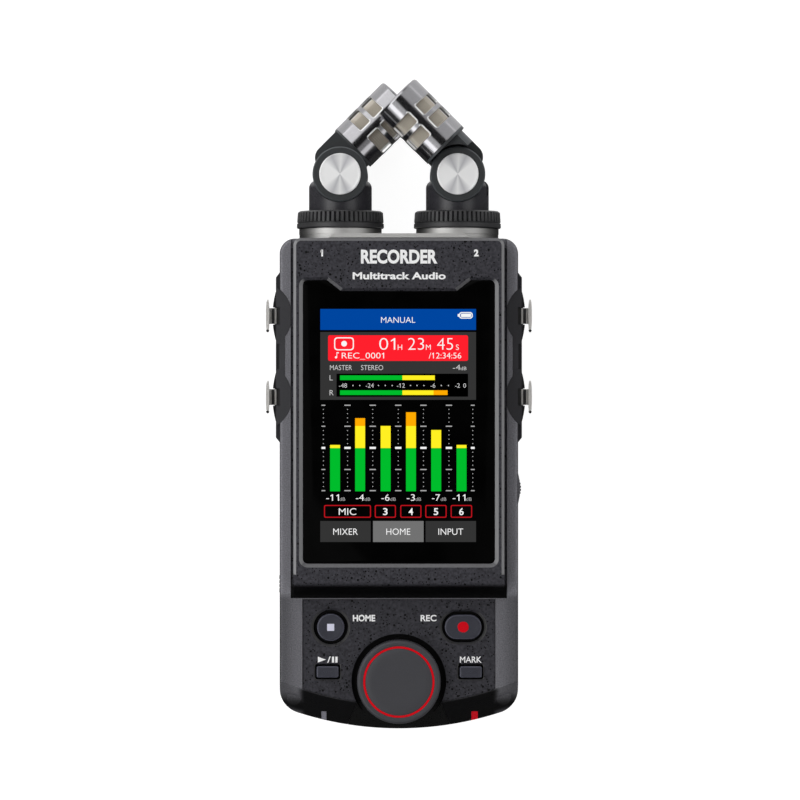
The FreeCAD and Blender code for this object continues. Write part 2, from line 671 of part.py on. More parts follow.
def wheel_encoder():
    """Rotary encoder on the control board, whose shaft the wheel turns on."""
    half = 5.8
    base_z = CONTROL_BOARD_Z[1] + 0.05
    body = box((-half, half), (WHEEL_Y - half, WHEEL_Y + half), (base_z, PANEL_Z[0] + 0.3))
    shaft = rod((0, WHEEL_Y, base_z), Z_AXIS, WHEEL_SHAFT_R, WHEEL_Z[0] + 4.3 - base_z)
    return body.fuse(shaft)


def button(name):
    centre, size, _, _, full_round = BUTTONS[name]
    cap = prism(button_wire(centre, size, full_round), (BUTTON_FLANGE_Z[0], BUTTON_TOP_Z))
    cap = cap.makeFillet(0.35, edges_at(cap, BUTTON_TOP_Z))
    flange = prism(button_wire(centre, (size[0] + 1.6, size[1] + 1.4), full_round), BUTTON_FLANGE_Z)
    return cap.fuse(flange).removeSplitter()


def switch_bodies():
    """The slide switch's base, and four push switches on the control board under the buttons."""
    switches = [power_switch_base()]
    top = BUTTON_FLANGE_Z[0] - BUTTON_TRAVEL - 0.1
    low = CONTROL_BOARD_Z[1] + 0.05
    for (x, y), *_ in BUTTONS.values():
        body = box((x - 2.6, x + 2.6), (y - 2.6, y + 2.6), (low, top - 0.8))
        switches.append(body.fuse(rod((x, y, low), Z_AXIS, 1.6, top - low)))
    return switches


def control_board():
    y = (BOTTOM_Y + 9.5, HOUSING_END_Y + 1.5)
    return box((-CONTROL_BOARD_HALF, CONTROL_BOARD_HALF), y, CONTROL_BOARD_Z)


def main_board():
    board = box((-MAIN_BOARD_HALF, MAIN_BOARD_HALF), (HOUSING_END_Y + 2.2, ZONE_Y[0] - 1.6), MAIN_BOARD_Z)
    posts = screw_posts((0, 30), POST_R + 0.3)
    return cut(board, posts)


def volume_wheel():
    wheel = rod((VOLUME_X, VOLUME_Y, VOLUME_Z[0]), Z_AXIS, VOLUME_R, VOLUME_Z[1] - VOLUME_Z[0])
    return wheel.cut(rod((VOLUME_X, VOLUME_Y, 0), Z_AXIS, VOLUME_SHAFT_R + 0.05, 30))


def volume_control():
    """Potentiometer that hangs from the main board, with its shaft down through the wheel."""
    top = MAIN_BOARD_Z[0] - 0.05
    body = box((VOLUME_X - 4.5, VOLUME_X + 3.9), (VOLUME_Y - 4.5, VOLUME_Y + 4.5), (VOLUME_Z[1] + 0.5, top))
    shaft = rod((VOLUME_X, VOLUME_Y, VOLUME_Z[0] - 0.3), Z_AXIS, VOLUME_SHAFT_R, top - VOLUME_Z[0])
    return body.fuse(shaft)


def power_switch():
    knob = box((-SWITCH_X, -HALF_WIDTH + 0.7), SWITCH_Y, SWITCH_Z)
    ridges = [box((-SWITCH_X - 1, -SWITCH_X + 0.3), (SWITCH_Y[0] + d, SWITCH_Y[0] + d + 0.5), (0, 30))
              for d in (1.2, 2.5, 3.8)]
    stem = box((-HALF_WIDTH + 0.6, -HALF_WIDTH + 3.2),
               (SWITCH_Y[0] + 1.8, SWITCH_Y[1] - 1.8), (SWITCH_Z[0] + 0.7, SWITCH_Z[1] - 0.7))
    return cut(knob, ridges).fuse(stem).removeSplitter()


def power_switch_base():
    """Fixed body of the slide switch, with a slot that the knob's stem runs in."""
    x = (-HALF_WIDTH + WALL + 0.1, -BAY_HALF - BAY_WALL - 0.1)
    y = (SWITCH_Y[0] - 2.2, SWITCH_Y[1] + 2.2)
    base = box(x, y, (SWITCH_Z[0] - 1.0, SWITCH_Z[1] + 1.0))
    slot = box((x[0] - 1, x[0] + 1.6), (y[0] + 1.6, y[1] - 1.6), (SWITCH_Z[0] + 0.5, SWITCH_Z[1] - 0.5))
    return base.cut(slot)


def card_door():
    """Side door hung from its top edge, which is rounded about the hinge line."""
    x = (-HALF_WIDTH, -HALF_WIDTH + DOOR_THICK)
    radius = DOOR_THICK / 2
    hinge_z = DOOR_Z[1] - radius
    plate = box(x, DOOR_Y, (DOOR_Z[0], hinge_z))
    barrel = rod((sum(x) / 2, DOOR_Y[0], hinge_z), Y_AXIS, radius, DOOR_Y[1] - DOOR_Y[0])
    notch = rod((-HALF_WIDTH - 1.2, sum(DOOR_Y) / 2, DOOR_Z[0]), Y_AXIS, 1.6, 5.0)
    notch.translate(V(0, -2.5, 0))
    return plate.fuse(barrel).removeSplitter().cut(notch)


def mini_jack(side, y):
    """A 3.5 mm jack: a block inside the case with a short barrel through its side."""
    face = HALF_WIDTH - 0.3
    block = box((side * (face - MINI_DEPTH - 1), side * (HALF_WIDTH - WALL - 0.1)),
                (y - MINI_HALF, y + MINI_HALF), (MINI_Z - MINI_HALF, MINI_Z + MINI_HALF))
    barrel = rod((side * (face - 6), y, MINI_Z), X_AXIS * side, 3.0, 6)
    bore = rod((side * (face - MINI_DEPTH), y, MINI_Z), X_AXIS * side, MINI_R, MINI_DEPTH + 1)
    return block.fuse(barrel).removeSplitter().cut(bore)


def board_connectors():
    """USB port in the bottom end and card slot behind the side door."""
    half_x, half_z = USB_HALF
    y = (BOTTOM_Y + 0.4, BAY_Y[0] - BAY_WALL - 0.15)
    wire = rounded_rectangle((0, 0), (2 * half_x, 2 * half_z), half_z - 0.05)
    hole = rounded_rectangle((0, 0), (2 * half_x - 0.7, 2 * half_z - 0.7), half_z - 0.4)
    port = prism(wire, (0, y[1] - y[0])).cut(prism(hole, (-1, y[1] - y[0] - 1)))
    port = port.fuse(box((-3.2, 3.2), (-0.35, 0.35), (1.0, y[1] - y[0] - 0.5)))
    port.rotate(V(0, 0, 0), X_AXIS, -90)
    port.translate(V(0, y[0], USB_Z))
    x = (-HALF_WIDTH + WALL + 0.2, -HALF_WIDTH + WALL + 14.0)
    slot = box(x, (DOOR_Y[0] + 0.2, DOOR_Y[1] - 0.6), (MINI_Z - 1.2, MINI_Z + 1.2))
    slot = slot.cut(box((x[0] - 1, x[1] - 1), (DOOR_Y[0] + 1.0, DOOR_Y[1] - 1.4),
                        (MINI_Z - 0.5, MINI_Z + 0.5)))
    return [port, slot]


def battery_cover():
    cover = box((-COVER_HALF, COVER_HALF), COVER_Y, (0, COVER_THICK))
    grips = [box((-9, 9), (COVER_Y[0] + 6 + d, COVER_Y[0] + 6.8 + d), (-1, 0.4)) for d in (0, 2, 4, 6)]
    return cut(cover, grips)


def aa_cells():
    cells = []
    low = BAY_Y[0] + 2.4
    for i in range(4):
        x = (i - 1.5) * CELL_PITCH
        can = rod((x, low, CELL_Z), Y_AXIS, CELL_R, CELL_LENGTH - 1.2)
        if i % 2:
            tip = rod((x, low + CELL_LENGTH - 1.3, CELL_Z), Y_AXIS, 2.7, 1.3)
        else:
            tip = rod((x, low - 1.2, CELL_Z), Y_AXIS, 2.7, 1.3)
        cells.append(can.fuse(tip))
    return cells


def battery_contacts():
    """Plates at both ends of each cell."""
    plates = []
    for i in range(4):
        x = (i - 1.5) * CELL_PITCH
        for y in ((BAY_Y[0], BAY_Y[0] + 0.5), (BAY_Y[1] - 0.5, BAY_Y[1])):
            plates.append(box((x - 5, x + 5), y, (CELL_Z - 5, CELL_Z + 5)))
    return plates


def tripod_insert():
    body = rod((0, TRIPOD_Y, 0), Z_AXIS, INSERT_R, TRIPOD_DEPTH + 1)
    flange = rod((0, TRIPOD_Y, BASE + 0.05), Z_AXIS, INSERT_R + 2, 1.6)
    return body.fuse(flange).removeSplitter().cut(rod((0, TRIPOD_Y, -1), Z_AXIS, TRIPOD_R, TRIPOD_DEPTH + 1))


def speaker():
    frame = rod((0, SPEAKER_Y, BASE + 0.05), Z_AXIS, SPEAKER_R, 2.6)
    cone_hollow = Part.makeCone(SPEAKER_R - 1.5, 2.5, 1.5, V(0, SPEAKER_Y, BASE + 0.04), Z_AXIS)
    magnet = rod((0, SPEAKER_Y, BASE + 2.6), Z_AXIS, 5.5, 1.9)
    return frame.fuse(magnet).removeSplitter().cut(cone_hollow)


def case_screws():
    screws = []
    for x, y in SCREWS:
        head = rod((x, y, SCREW_HEAD_Z[0]), Z_AXIS, SCREW_HEAD_R, SCREW_HEAD_Z[1] - SCREW_HEAD_Z[0])
        shank = rod((x, y, 2.0), Z_AXIS, SCREW_SHANK_R, SCREW_TIP_Z - 2.0)
        socket = prism(Part.makePolygon([V(x + 0.9 * math.cos(math.radians(60 * i)),
                                           y + 0.9 * math.sin(math.radians(60 * i)), 0)
                                         for i in range(7)]), (0.5, 1.7))
        screws += both_sides(head.fuse(shank).removeSplitter().cut(socket))
    return screws


def mic_top_plate():
    """Plate that both collars stand on, with a ledge towards the front in the middle."""
    y0 = TOP_Y + 0.1
    thick = COLLAR_Y[0] - 0.05 - y0
    discs = [rod((side * MIC_X, y0, MIC_Z), Y_AXIS, COLLAR_R - 0.1, thick) for side in SIDES.values()]
    ledge = prism(polygon([(-22.4, y0), (22.4, y0), (20.9, y0 + thick), (-20.9, y0 + thick)]), (5.0, 33.6))
    holes = [rod((side * MIC_X, y0 - 1, MIC_Z), Y_AXIS, SOCKET_R + 0.2, thick + 2) for side in SIDES.values()]
    return cut(fuse(discs + [ledge]), holes)


def mic_sockets():
    """Connectors sunk in the top of the case, one under each microphone."""
    start = TOP_Y - 9.5
    length = RING_Y[0] + 0.5 - start
    return [rod((side * MIC_X, start, MIC_Z), Y_AXIS, SOCKET_R, length) for side in SIDES.values()]


def mic_collars():
    collars = []
    for side in SIDES.values():
        ring = rod((side * MIC_X, COLLAR_Y[0], MIC_Z), Y_AXIS, COLLAR_R, COLLAR_Y[1] - COLLAR_Y[0])
        spigot = rod((side * MIC_X, COLLAR_Y[0], MIC_Z), Y_AXIS, SPIGOT_R, 2.6)
        bore = rod((side * MIC_X, COLLAR_Y[0] - 1, MIC_Z), Y_AXIS, SOCKET_R + 0.1, 6)
        collars.append(ring.fuse(spigot).removeSplitter().cut(bore))
    return collars


def locking_ring():
    """Right-hand ring nut, flared towards the case, over the neck's flange."""
    height = RING_Y[1] - RING_Y[0]
    body = Part.makeCone(RING_BASE_R, RING_TOP_R, height, V(MIC_X, RING_Y[0], MIC_Z), Y_AXIS)
    wide = rod((MIC_X, RING_Y[0] - 1, MIC_Z), Y_AXIS, SPIGOT_R + 0.1, height - 1.8)
    narrow = rod((MIC_X, RING_Y[0], MIC_Z), Y_AXIS, NECK_R + 0.1, height + 1)
    return cut(body, [wide, narrow])


def neck():
    """Right-hand neck: a post with a lug at its back half that carries the hinge pin."""
    start = RING_Y[0] + 0.75
    post = rod((MIC_X, start, MIC_Z), Y_AXIS, NECK_R, NECK_TOP_Y - start)
    rim = [e for e in post.Edges if abs(e.BoundBox.YMin - NECK_TOP_Y) < 1e-4]
    post = post.makeFillet(2.6, rim)
    flange = rod((MIC_X, start, MIC_Z), Y_AXIS, SPIGOT_R, 1.8)
    lug = rod((MIC_X, HINGE_Y, LUG_Z[0]), Z_AXIS, LUG_R, LUG_Z[1] - LUG_Z[0])
    above = MIC_Z + NECK_R + 1
    knob_gap = KNOB_R + 0.2
    front = rod((MIC_X, HINGE_Y, ARM_Z[1] + 0.2), Z_AXIS, knob_gap, above)
    back = rod((MIC_X, HINGE_Y, -5), Z_AXIS, knob_gap, LUG_Z[0] - 0.1 + 5)
    low = LUG_Z[1]
    hub_gap = rod((MIC_X, HINGE_Y, low), Z_AXIS, ARM_HUB_R + 0.3, ARM_Z[1] + 0.2 - low)
    swing = rod((MIC_X, HINGE_Y, low), Z_AXIS, SWING_R, BAR_Z[1] + 0.2 - low)
    swing = swing.common(box((MIC_X, MIC_X + 20), (50, 90), (0, 40)))
    bore = rod((MIC_X, HINGE_Y, 0), Z_AXIS, HINGE_PIN_R + 0.05, 30)
    body = cut(fuse([post, flange]), [front, back, hub_gap, swing])
    return fuse([body, lug]).cut(bore)


def along_head(shape):
    """Moves a shape built along +Z from the origin onto the right-hand head's axis."""
    lean = math.sqrt(0.5)
    forward = V(-lean, lean, 0)
    outward = V(lean, lean, 0)
    shape = shape.copy()
    turn = FreeCAD.Rotation(Z_AXIS, forward.cross(Z_AXIS), forward, "ZXY")
    start = V(MIC_X, HINGE_Y, HEAD_Z) + forward * HEAD_START + outward * HEAD_OFFSET
    shape.Placement = FreeCAD.Placement(start, turn).multiply(shape.Placement)
    return shape


def arm():
    """Right-hand arm: hub, shoulder and the round plate that the head screws to."""
    reach = HEAD_START - BASE_RING
    outer = HEAD_OFFSET + HEAD_R - 0.85
    inner = HEAD_OFFSET - HEAD_R + 0.6
    bend = (outer - BAR_CORNER, BAR_FOOT + BAR_CORNER)
    bar = Part.Wire([
        line((inner, 0), (inner, reach)), line((inner, reach), (outer, reach)),
        line((outer, reach), (outer, bend[1])), arc(bend, BAR_CORNER, 0, -90),
        line((bend[0], BAR_FOOT), (0, BAR_FOOT)), line((0, BAR_FOOT), (inner, 0)),
    ])
    bar = prism(bar, BAR_Z)
    bar.rotate(V(0, 0, 0), Z_AXIS, 45)
    bar.translate(V(MIC_X, HINGE_Y, 0))
    hub = rod((MIC_X, HINGE_Y, ARM_Z[0]), Z_AXIS, ARM_HUB_R, ARM_Z[1] - ARM_Z[0])
    plate = along_head(rod((0, 0, -BASE_RING - 0.05), Z_AXIS, HEAD_R - 0.05, BASE_RING))
    bracket = along_head(rod((0, 0, -BASE_RING - 5.0), Z_AXIS, HEAD_R - 1.1, 5.0))
    keep = box((MIC_X - 30, MIC_X + 30), (50, 110), (ARM_Z[0], HEAD_Z + HEAD_R - 3))
    bracket = bracket.common(keep).cut(rod((MIC_X, HINGE_Y, 0), Z_AXIS, KNOB_R + 0.6, 50))
    bore = rod((MIC_X, HINGE_Y, 0), Z_AXIS, HINGE_PIN_R + 0.02, 30)
    return fuse([bar, hub, plate, bracket]).cut(bore)


def hinge_knobs():
    """Round knobs at the two ends of the right-hand hinge pin."""
    thick = KNOB_Z[1] - KNOB_Z[0]
    front = rod((MIC_X, HINGE_Y, KNOB_Z[0]), Z_AXIS, KNOB_R, thick)
    front = front.makeChamfer(0.4, edges_at(front, KNOB_Z[1]))
    back_z = 2 * MIC_Z - KNOB_Z[1]
    back = rod((MIC_X, HINGE_Y, back_z), Z_AXIS, KNOB_R, thick)
    back = back.makeChamfer(0.4, edges_at(back, back_z))
    return [front, back]


def hinge_pin():
    low = 2 * MIC_Z - KNOB_Z[0] + 0.02
    return rod((MIC_X, HINGE_Y, low), Z_AXIS, HINGE_PIN_R, KNOB_Z[0] - 0.02 - low)


def hinge_cap(x):
    cap = rod((x, HINGE_Y, KNOB_Z[1] + 0.02), Z_AXIS, CAP_R, CAP_THICK)
    return cap.makeChamfer(0.3, edges_at(cap, KNOB_Z[1] + 0.02 + CAP_THICK))


def head_window(row, angle, depth):
    """Cutter for one window of a head, pointing out along +X before it is turned by an angle."""
    low, high = row
    width = 2 * HEAD_R * math.sin(math.radians(HEAD_WINDOW_ANGLE / 2))
    wire = rounded_rectangle((0, 0), (width, high - low), HEAD_WINDOW_CORNER)
    cutter = prism(wire, (0, depth))
    cutter.rotate(V(0, 0, 0), X_AXIS, 90)
    cutter.rotate(V(0, 0, 0), Z_AXIS, 90)
    cutter.translate(V(HEAD_R - depth + 1, 0, HEAD_LENGTH - (low + high) / 2))
    cutter.rotate(V(0, 0, 0), Z_AXIS, angle)
    return cutter


def head_housing(turn):
    body = rod((0, 0, 0), Z_AXIS, HEAD_R, HEAD_LENGTH)
    body = body.makeFillet(HEAD_ROUND, edges_at(body, HEAD_LENGTH))
    hollow = rod((0, 0, -1), Z_AXIS, HEAD_R - HEAD_WALL, HEAD_LENGTH - HEAD_WALL + 1)
    windows = [head_window(row, turn + 360 / WINDOW_COUNT * i, 4.2)
               for row in WINDOW_ROWS for i in range(WINDOW_COUNT)]
    return along_head(cut(body, [hollow] + windows))


def head_mesh():
    outer = HEAD_R - HEAD_WALL - 0.05
    return along_head(tube((0, 0, 1.0), Z_AXIS, outer, outer - 0.4, HEAD_LENGTH - HEAD_WALL - 1.1))


def capsule():
    return along_head(rod((0, 0, 0.3), Z_AXIS, 5.6, HEAD_LENGTH - 3.0))


def turned_over(shape):
    """The right-hand microphone's piece turned about the case's long middle line."""
    shape = shape.copy()
    shape.rotate(V(0, 0, MIC_Z), Y_AXIS, 180)
    return shape


def build_nodes():
    nodes = {
        "rear_shell": rear_shell(),
        "front_shell": front_shell(),
        "display_housing": display_housing(),
        "display_glass": display_glass(),
        "display_module": display_module(),
        "control_panel": control_panel(),
        "bottom_trim": bottom_trim(),
        "data_wheel": data_wheel(),
        "wheel_ring": wheel_ring(),
        "wheel_encoder": wheel_encoder(),
        "switch_bodies": switch_bodies(),
        "control_board": control_board(),
        "main_board": main_board(),
        "volume_wheel": volume_wheel(),
        "volume_control": volume_control(),
        "power_switch": power_switch(),
        "card_door": card_door(),
        "mini_jacks": [mini_jack(side, y) for side, y in MINI_JACKS.values()],
        "board_connectors": board_connectors(),
        "battery_cover": battery_cover(),
        "aa_cells": aa_cells(),
        "battery_contacts": battery_contacts(),
        "tripod_insert": tripod_insert(),
        "speaker": speaker(),
        "case_screws": case_screws(),
        "mic_top_plate": mic_top_plate(),
        "mic_sockets": mic_sockets(),
        "mic_collars": mic_collars(),
    }
    for name, x in INDICATORS.items():
        nodes[name] = indicator(x)
    for name in BUTTONS:
        nodes[name] = button(name)
    panel = jack_panel()
    jacks = [combo_jack(y) for y in JACK_Y]
    tabs = {"upper": release_tab(JACK_Y[0]), "lower": release_tab(JACK_Y[1])}
    nodes["jack_panel_right"] = panel
    nodes["jack_panel_left"] = mirrored(panel)
    nodes["combo_jacks_right"] = jacks
    nodes["combo_jacks_left"] = [mirrored(jack) for jack in jacks]
    for level, tab in tabs.items():
        nodes[f"release_tab_{level}_right"] = tab
        nodes[f"release_tab_{level}_left"] = mirrored(tab)
    mic_pieces = {"locking_ring": [locking_ring()], "neck": [neck()], "mic_arm": [arm()],
                  "hinge_knobs": hinge_knobs(), "hinge_pin": [hinge_pin()],
                  "head_mesh": [head_mesh()], "capsule": [capsule()]}
    for name, solids in mic_pieces.items():
        nodes[f"{name}_right"] = solids
        nodes[f"{name}_left"] = [turned_over(s) for s in solids]
    nodes["head_housing_right"] = head_housing(WINDOW_TURN["right"])
    nodes["head_housing_left"] = turned_over(head_housing(WINDOW_TURN["left"]))
    for side, sign in SIDES.items():
        nodes[f"hinge_cap_{side}"] = hinge_cap(sign * MIC_X)
    return nodes


def solids_of(shape):
    pieces = shape if isinstance(shape, list) else [shape]
    return [solid for piece in pieces for solid in piece.Solids]


os.makedirs("parts", exist_ok=True)
for node, shape in build_nodes().items():
    solids = solids_of(shape)
    whole = solids[0] if len(solids) == 1 else Part.makeCompound(solids)
    whole.exportStep(f"parts/{node}.step")
    print(node, len(solids), round(whole.Volume, 1), whole.isValid())
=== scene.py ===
import math

import bmesh
import bpy
from mathutils import Matrix, Vector


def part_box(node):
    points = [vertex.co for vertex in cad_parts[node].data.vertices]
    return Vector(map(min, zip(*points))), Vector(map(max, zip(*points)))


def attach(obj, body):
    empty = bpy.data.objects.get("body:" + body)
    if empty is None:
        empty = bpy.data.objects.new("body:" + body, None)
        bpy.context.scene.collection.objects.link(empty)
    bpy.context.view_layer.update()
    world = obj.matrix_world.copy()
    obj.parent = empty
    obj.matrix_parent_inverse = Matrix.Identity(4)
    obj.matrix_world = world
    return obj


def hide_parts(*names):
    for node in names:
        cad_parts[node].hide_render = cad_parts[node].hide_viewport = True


# A handheld multitrack recorder with two tilting microphones, lying on its back on a pale floor.
# Shapes are worked out in millimetres in the frame's axes and turned into metres when a piece is
# made: +X is the recorder's right, +Y runs towards the microphones, +Z comes out of the display.

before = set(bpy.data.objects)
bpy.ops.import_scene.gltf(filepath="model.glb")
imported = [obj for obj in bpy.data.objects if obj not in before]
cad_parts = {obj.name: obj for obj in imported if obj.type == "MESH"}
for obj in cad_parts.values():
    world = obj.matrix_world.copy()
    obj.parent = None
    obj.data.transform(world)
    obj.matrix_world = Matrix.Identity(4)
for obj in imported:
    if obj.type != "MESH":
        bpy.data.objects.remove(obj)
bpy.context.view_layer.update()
MM = 0.001
SIDES = {"left": -1, "right": 1}


def box_mm(node):
    """Lowest and highest corner of a CAD node, in millimetres."""
    low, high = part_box(node)
    return low / MM, high / MM


def node_centre(node):
    low, high = box_mm(node)
    return (low.x + high.x) / 2, (low.y + high.y) / 2


GLASS_LOW, GLASS_HIGH = box_mm("display_glass")
HOUSING_LOW, HOUSING_HIGH = box_mm("display_housing")
PANEL_LOW, PANEL_HIGH = box_mm("control_panel")
WHEEL_LOW, WHEEL_HIGH = box_mm("data_wheel")
RING_LOW, RING_HIGH = box_mm("wheel_ring")

# The arch that the control panel's lower edge and the bevel below it follow
ARCH_R = 98.6
ARCH_CENTRE_Y = PANEL_LOW.y + ARCH_R
ARCH_TOP_Y = -88.0


# ---------- shader nodes

NOISE_RANGE = (0.3, 0.7)
EVEN = (1.0, 1.0, 1.0)


def new_material(name):
    material = bpy.data.materials.new(name)
    material.use_nodes = True
    tree = material.node_tree
    return material, tree, tree.nodes["Principled BSDF"]


def grey(value, tint=EVEN):
    return tuple(value * t for t in tint) + (1.0,)


def scaled(colour, factor):
    return tuple(min(1.0, c * factor) for c in colour[:3]) + (1.0,)


def own_space(tree):
    return tree.nodes.new("ShaderNodeTexCoord").outputs["Object"]


def components(tree, vector):
    """The X, Y and Z outputs of a vector."""
    split = tree.nodes.new("ShaderNodeSeparateXYZ")
    tree.links.new(vector, split.inputs["Vector"])
    return split.outputs


def facing(tree):
    """X, Y and Z of the surface's own direction."""
    return components(tree, tree.nodes.new("ShaderNodeNewGeometry").outputs["Normal"])


def math_node(tree, operation, *values):
    node = tree.nodes.new("ShaderNodeMath")
    node.operation = operation
    for socket, value in zip(node.inputs, values):
        if isinstance(value, float):
            socket.default_value = value
        else:
            tree.links.new(value, socket)
    return node.outputs[0]


def product(tree, first, *others):
    for other in others:
        first = math_node(tree, "MULTIPLY", first, other)
    return first


def fade(tree, value, start, end, first=0.0, last=1.0, interpolation="SMOOTHSTEP"):
    """Goes from first to last as a value goes from start to end."""
    node = tree.nodes.new("ShaderNodeMapRange")
    node.interpolation_type = interpolation
    ends = ((start, first), (end, last)) if start < end else ((end, last), (start, first))
    (low, at_low), (high, at_high) = ends
    node.inputs["From Min"].default_value = low
    node.inputs["From Max"].default_value = high
    node.inputs["To Min"].default_value = at_low
    node.inputs["To Max"].default_value = at_high
    tree.links.new(value, node.inputs["Value"])
    return node.outputs["Result"]


def fade_mm(tree, value, span):
    """Goes from 0 to 1 along a length that is given in millimetres."""
    return fade(tree, value, span[0] * MM, span[1] * MM)


def mixed(tree, factor, colour, other):
    """A colour that gives way to another, fixed one as the factor goes from 0 to 1."""
    mix = tree.nodes.new("ShaderNodeMix")
    mix.data_type = "RGBA"
    tree.links.new(factor, mix.inputs["Factor"])
    tree.links.new(colour, mix.inputs["A"])
    mix.inputs["B"].default_value = other
    return mix.outputs["Result"]


def brightened(tree, colour, amount):
    node = tree.nodes.new("ShaderNodeVectorMath")
    node.operation = "SCALE"
    tree.links.new(colour, node.inputs[0])
    tree.links.new(amount, node.inputs["Scale"])
    return node.outputs["Vector"]


def grain(tree, size, stretch=EVEN, detail=3.0):
    """Noise in the object's own space, with features about size millimetres across."""
    mapping = tree.nodes.new("ShaderNodeMapping")
    mapping.inputs["Scale"].default_value = stretch
    noise = tree.nodes.new("ShaderNodeTexNoise")
    noise.inputs["Scale"].default_value = 1 / (size * MM)
    noise.inputs["Detail"].default_value = detail
    tree.links.new(own_space(tree), mapping.inputs["Vector"])
    tree.links.new(mapping.outputs["Vector"], noise.inputs["Vector"])
    return noise.outputs["Fac"]


def between(tree, factor, low, high, start=NOISE_RANGE[0], end=NOISE_RANGE[1]):
    """Colour that runs from low to high as a factor goes from start to end."""
    ramp = tree.nodes.new("ShaderNodeValToRGB")
    first, last = ramp.color_ramp.elements
    first.position, first.color = start, low
    last.position, last.color = end, high
    tree.links.new(factor, ramp.inputs["Fac"])
    return ramp.outputs["Color"]


def bump(tree, bsdf, height, depth):
    """Relief that is depth millimetres deep."""
    node = tree.nodes.new("ShaderNodeBump")
    node.inputs["Strength"].default_value = 1.0
    node.inputs["Distance"].default_value = depth * MM
    tree.links.new(height, node.inputs["Height"])
    tree.links.new(node.outputs["Normal"], bsdf.inputs["Normal"])


def vary_roughness(tree, bsdf, factor, middle, spread):
    """Roughness that follows a noise on both sides of a middle value."""
    rough = fade(tree, factor, *NOISE_RANGE, middle - spread, middle + spread, "LINEAR")
    tree.links.new(rough, bsdf.inputs["Roughness"])


def flecked(tree, colour, fleck, cell, radius, share):
    """A colour with small round flecks scattered over it: a share of a grid's cells holds one
    each."""
    cells = tree.nodes.new("ShaderNodeTexVoronoi")
    cells.inputs["Scale"].default_value = 1 / (cell * MM)
    tree.links.new(own_space(tree), cells.inputs["Vector"])
    near = math_node(tree, "LESS_THAN", cells.outputs["Distance"], radius / cell)
    split = tree.nodes.new("ShaderNodeSeparateColor")
    tree.links.new(cells.outputs["Color"], split.inputs["Color"])
    chosen = math_node(tree, "LESS_THAN", split.outputs["Red"], share)
    return mixed(tree, product(tree, near, chosen), colour, fleck)


# ---------- materials

# Grid cell, fleck radius and share of cells with a fleck, for the small and the large flecks
FLECKS = ((1.05, 0.23, 0.8), (1.9, 0.38, 0.42))
# How much of its colour a place under painted shade keeps, and the gloss of the parts that have
# such places
PAINTED_SHADE_KEEP = 0.03
SATIN = 0.13

# Where the painted shade on the grey case starts and ends, in millimetres from the frame's origin,
# and the share of its colour that the lower part keeps under it
CORNER_FADE = (34.0, 30.0)
LOW_END_FADE = (ARCH_TOP_Y + 2.0, ARCH_TOP_Y)
END_FADE = (-91.5, -98.4)
FRONT_FADE = (18.0, 22.0)
SIDE_FADE = (30.5, 39.0)
LOWER_FADE = (-60.0, -64.0)
LOWER_SHADE = 0.74
LOWER_SIDE_SHADE = 0.62


def plastic(name, colour, roughness, size=0.35, spread=0.10, depth=0.02, specular=0.5,
            edge=None):
    """Moulded plastic: a fine mottled colour, a fine grain and slightly uneven gloss. Where edge is
    given, sloping edges are painted that many times as bright: a painted highlight where edge is
    above 1, painted shade where it is below 1."""
    material, tree, bsdf = new_material(name)
    factor = grain(tree, size)
    tint = between(tree, factor, scaled(colour, 1 - spread), scaled(colour, 1 + spread))
    if edge:
        # Sloping edges: a painted highlight where edge is above 1, painted shade where it is below
        # 1
        up = facing(tree)["Z"]
        slope = product(tree, fade(tree, up, 0.97, 0.85), fade(tree, up, 0.1, 0.4))
        tint = brightened(tree, tint, fade(tree, slope, 0.0, 1.0, 1.0, edge))
    tree.links.new(tint, bsdf.inputs["Base Color"])
    vary_roughness(tree, bsdf, factor, roughness, 0.06)
    bump(tree, bsdf, factor, depth)
    bsdf.inputs["Specular IOR Level"].default_value = specular
    return material


def flecked_paint(name, colour, roughness, edge, apron=None, well=None):
    """Dark textured paint with darker flecks of two sizes, a painted highlight in a paler colour
    along sloping edges, and painted shade, nearly black, in its low places: along Y below an
    apron's top, and along Z down a well."""
    material, tree, bsdf = new_material(name)
    factor = grain(tree, 0.8, detail=6.0)
    tint = between(tree, factor, scaled(colour, 0.62), scaled(colour, 1.4))
    for cell, radius, share in FLECKS:
        tint = flecked(tree, tint, scaled(colour, 0.02), cell, radius, share)
    normal = facing(tree)
    across = fade(tree, math_node(tree, "ABSOLUTE", normal["X"]), 0.25, 0.6)
    up = fade(tree, normal["Y"], 0.25, 0.6, 0.0, 0.5)
    upright = fade(tree, normal["Z"], 0.1, 0.4)
    # Painted highlight in the paler colour on edges that slope to the sides, and at half strength
    # on those that slope towards +Y
    tint = mixed(tree, product(tree, math_node(tree, "MAXIMUM", across, up), upright), tint, edge)
    # Painted shade, nearly black, in the low places
    place = components(tree, own_space(tree))
    low = fade_mm(tree, place["Y"], apron) if apron else fade_mm(tree, place["Z"], well)
    shade = fade(tree, low, 0.0, 1.0, 1.0, PAINTED_SHADE_KEEP)
    tree.links.new(brightened(tree, tint, shade), bsdf.inputs["Base Color"])
    vary_roughness(tree, bsdf, factor, roughness, 0.08)
    bump(tree, bsdf, factor, 0.03)
    bsdf.inputs["Specular IOR Level"].default_value = SATIN
    return material


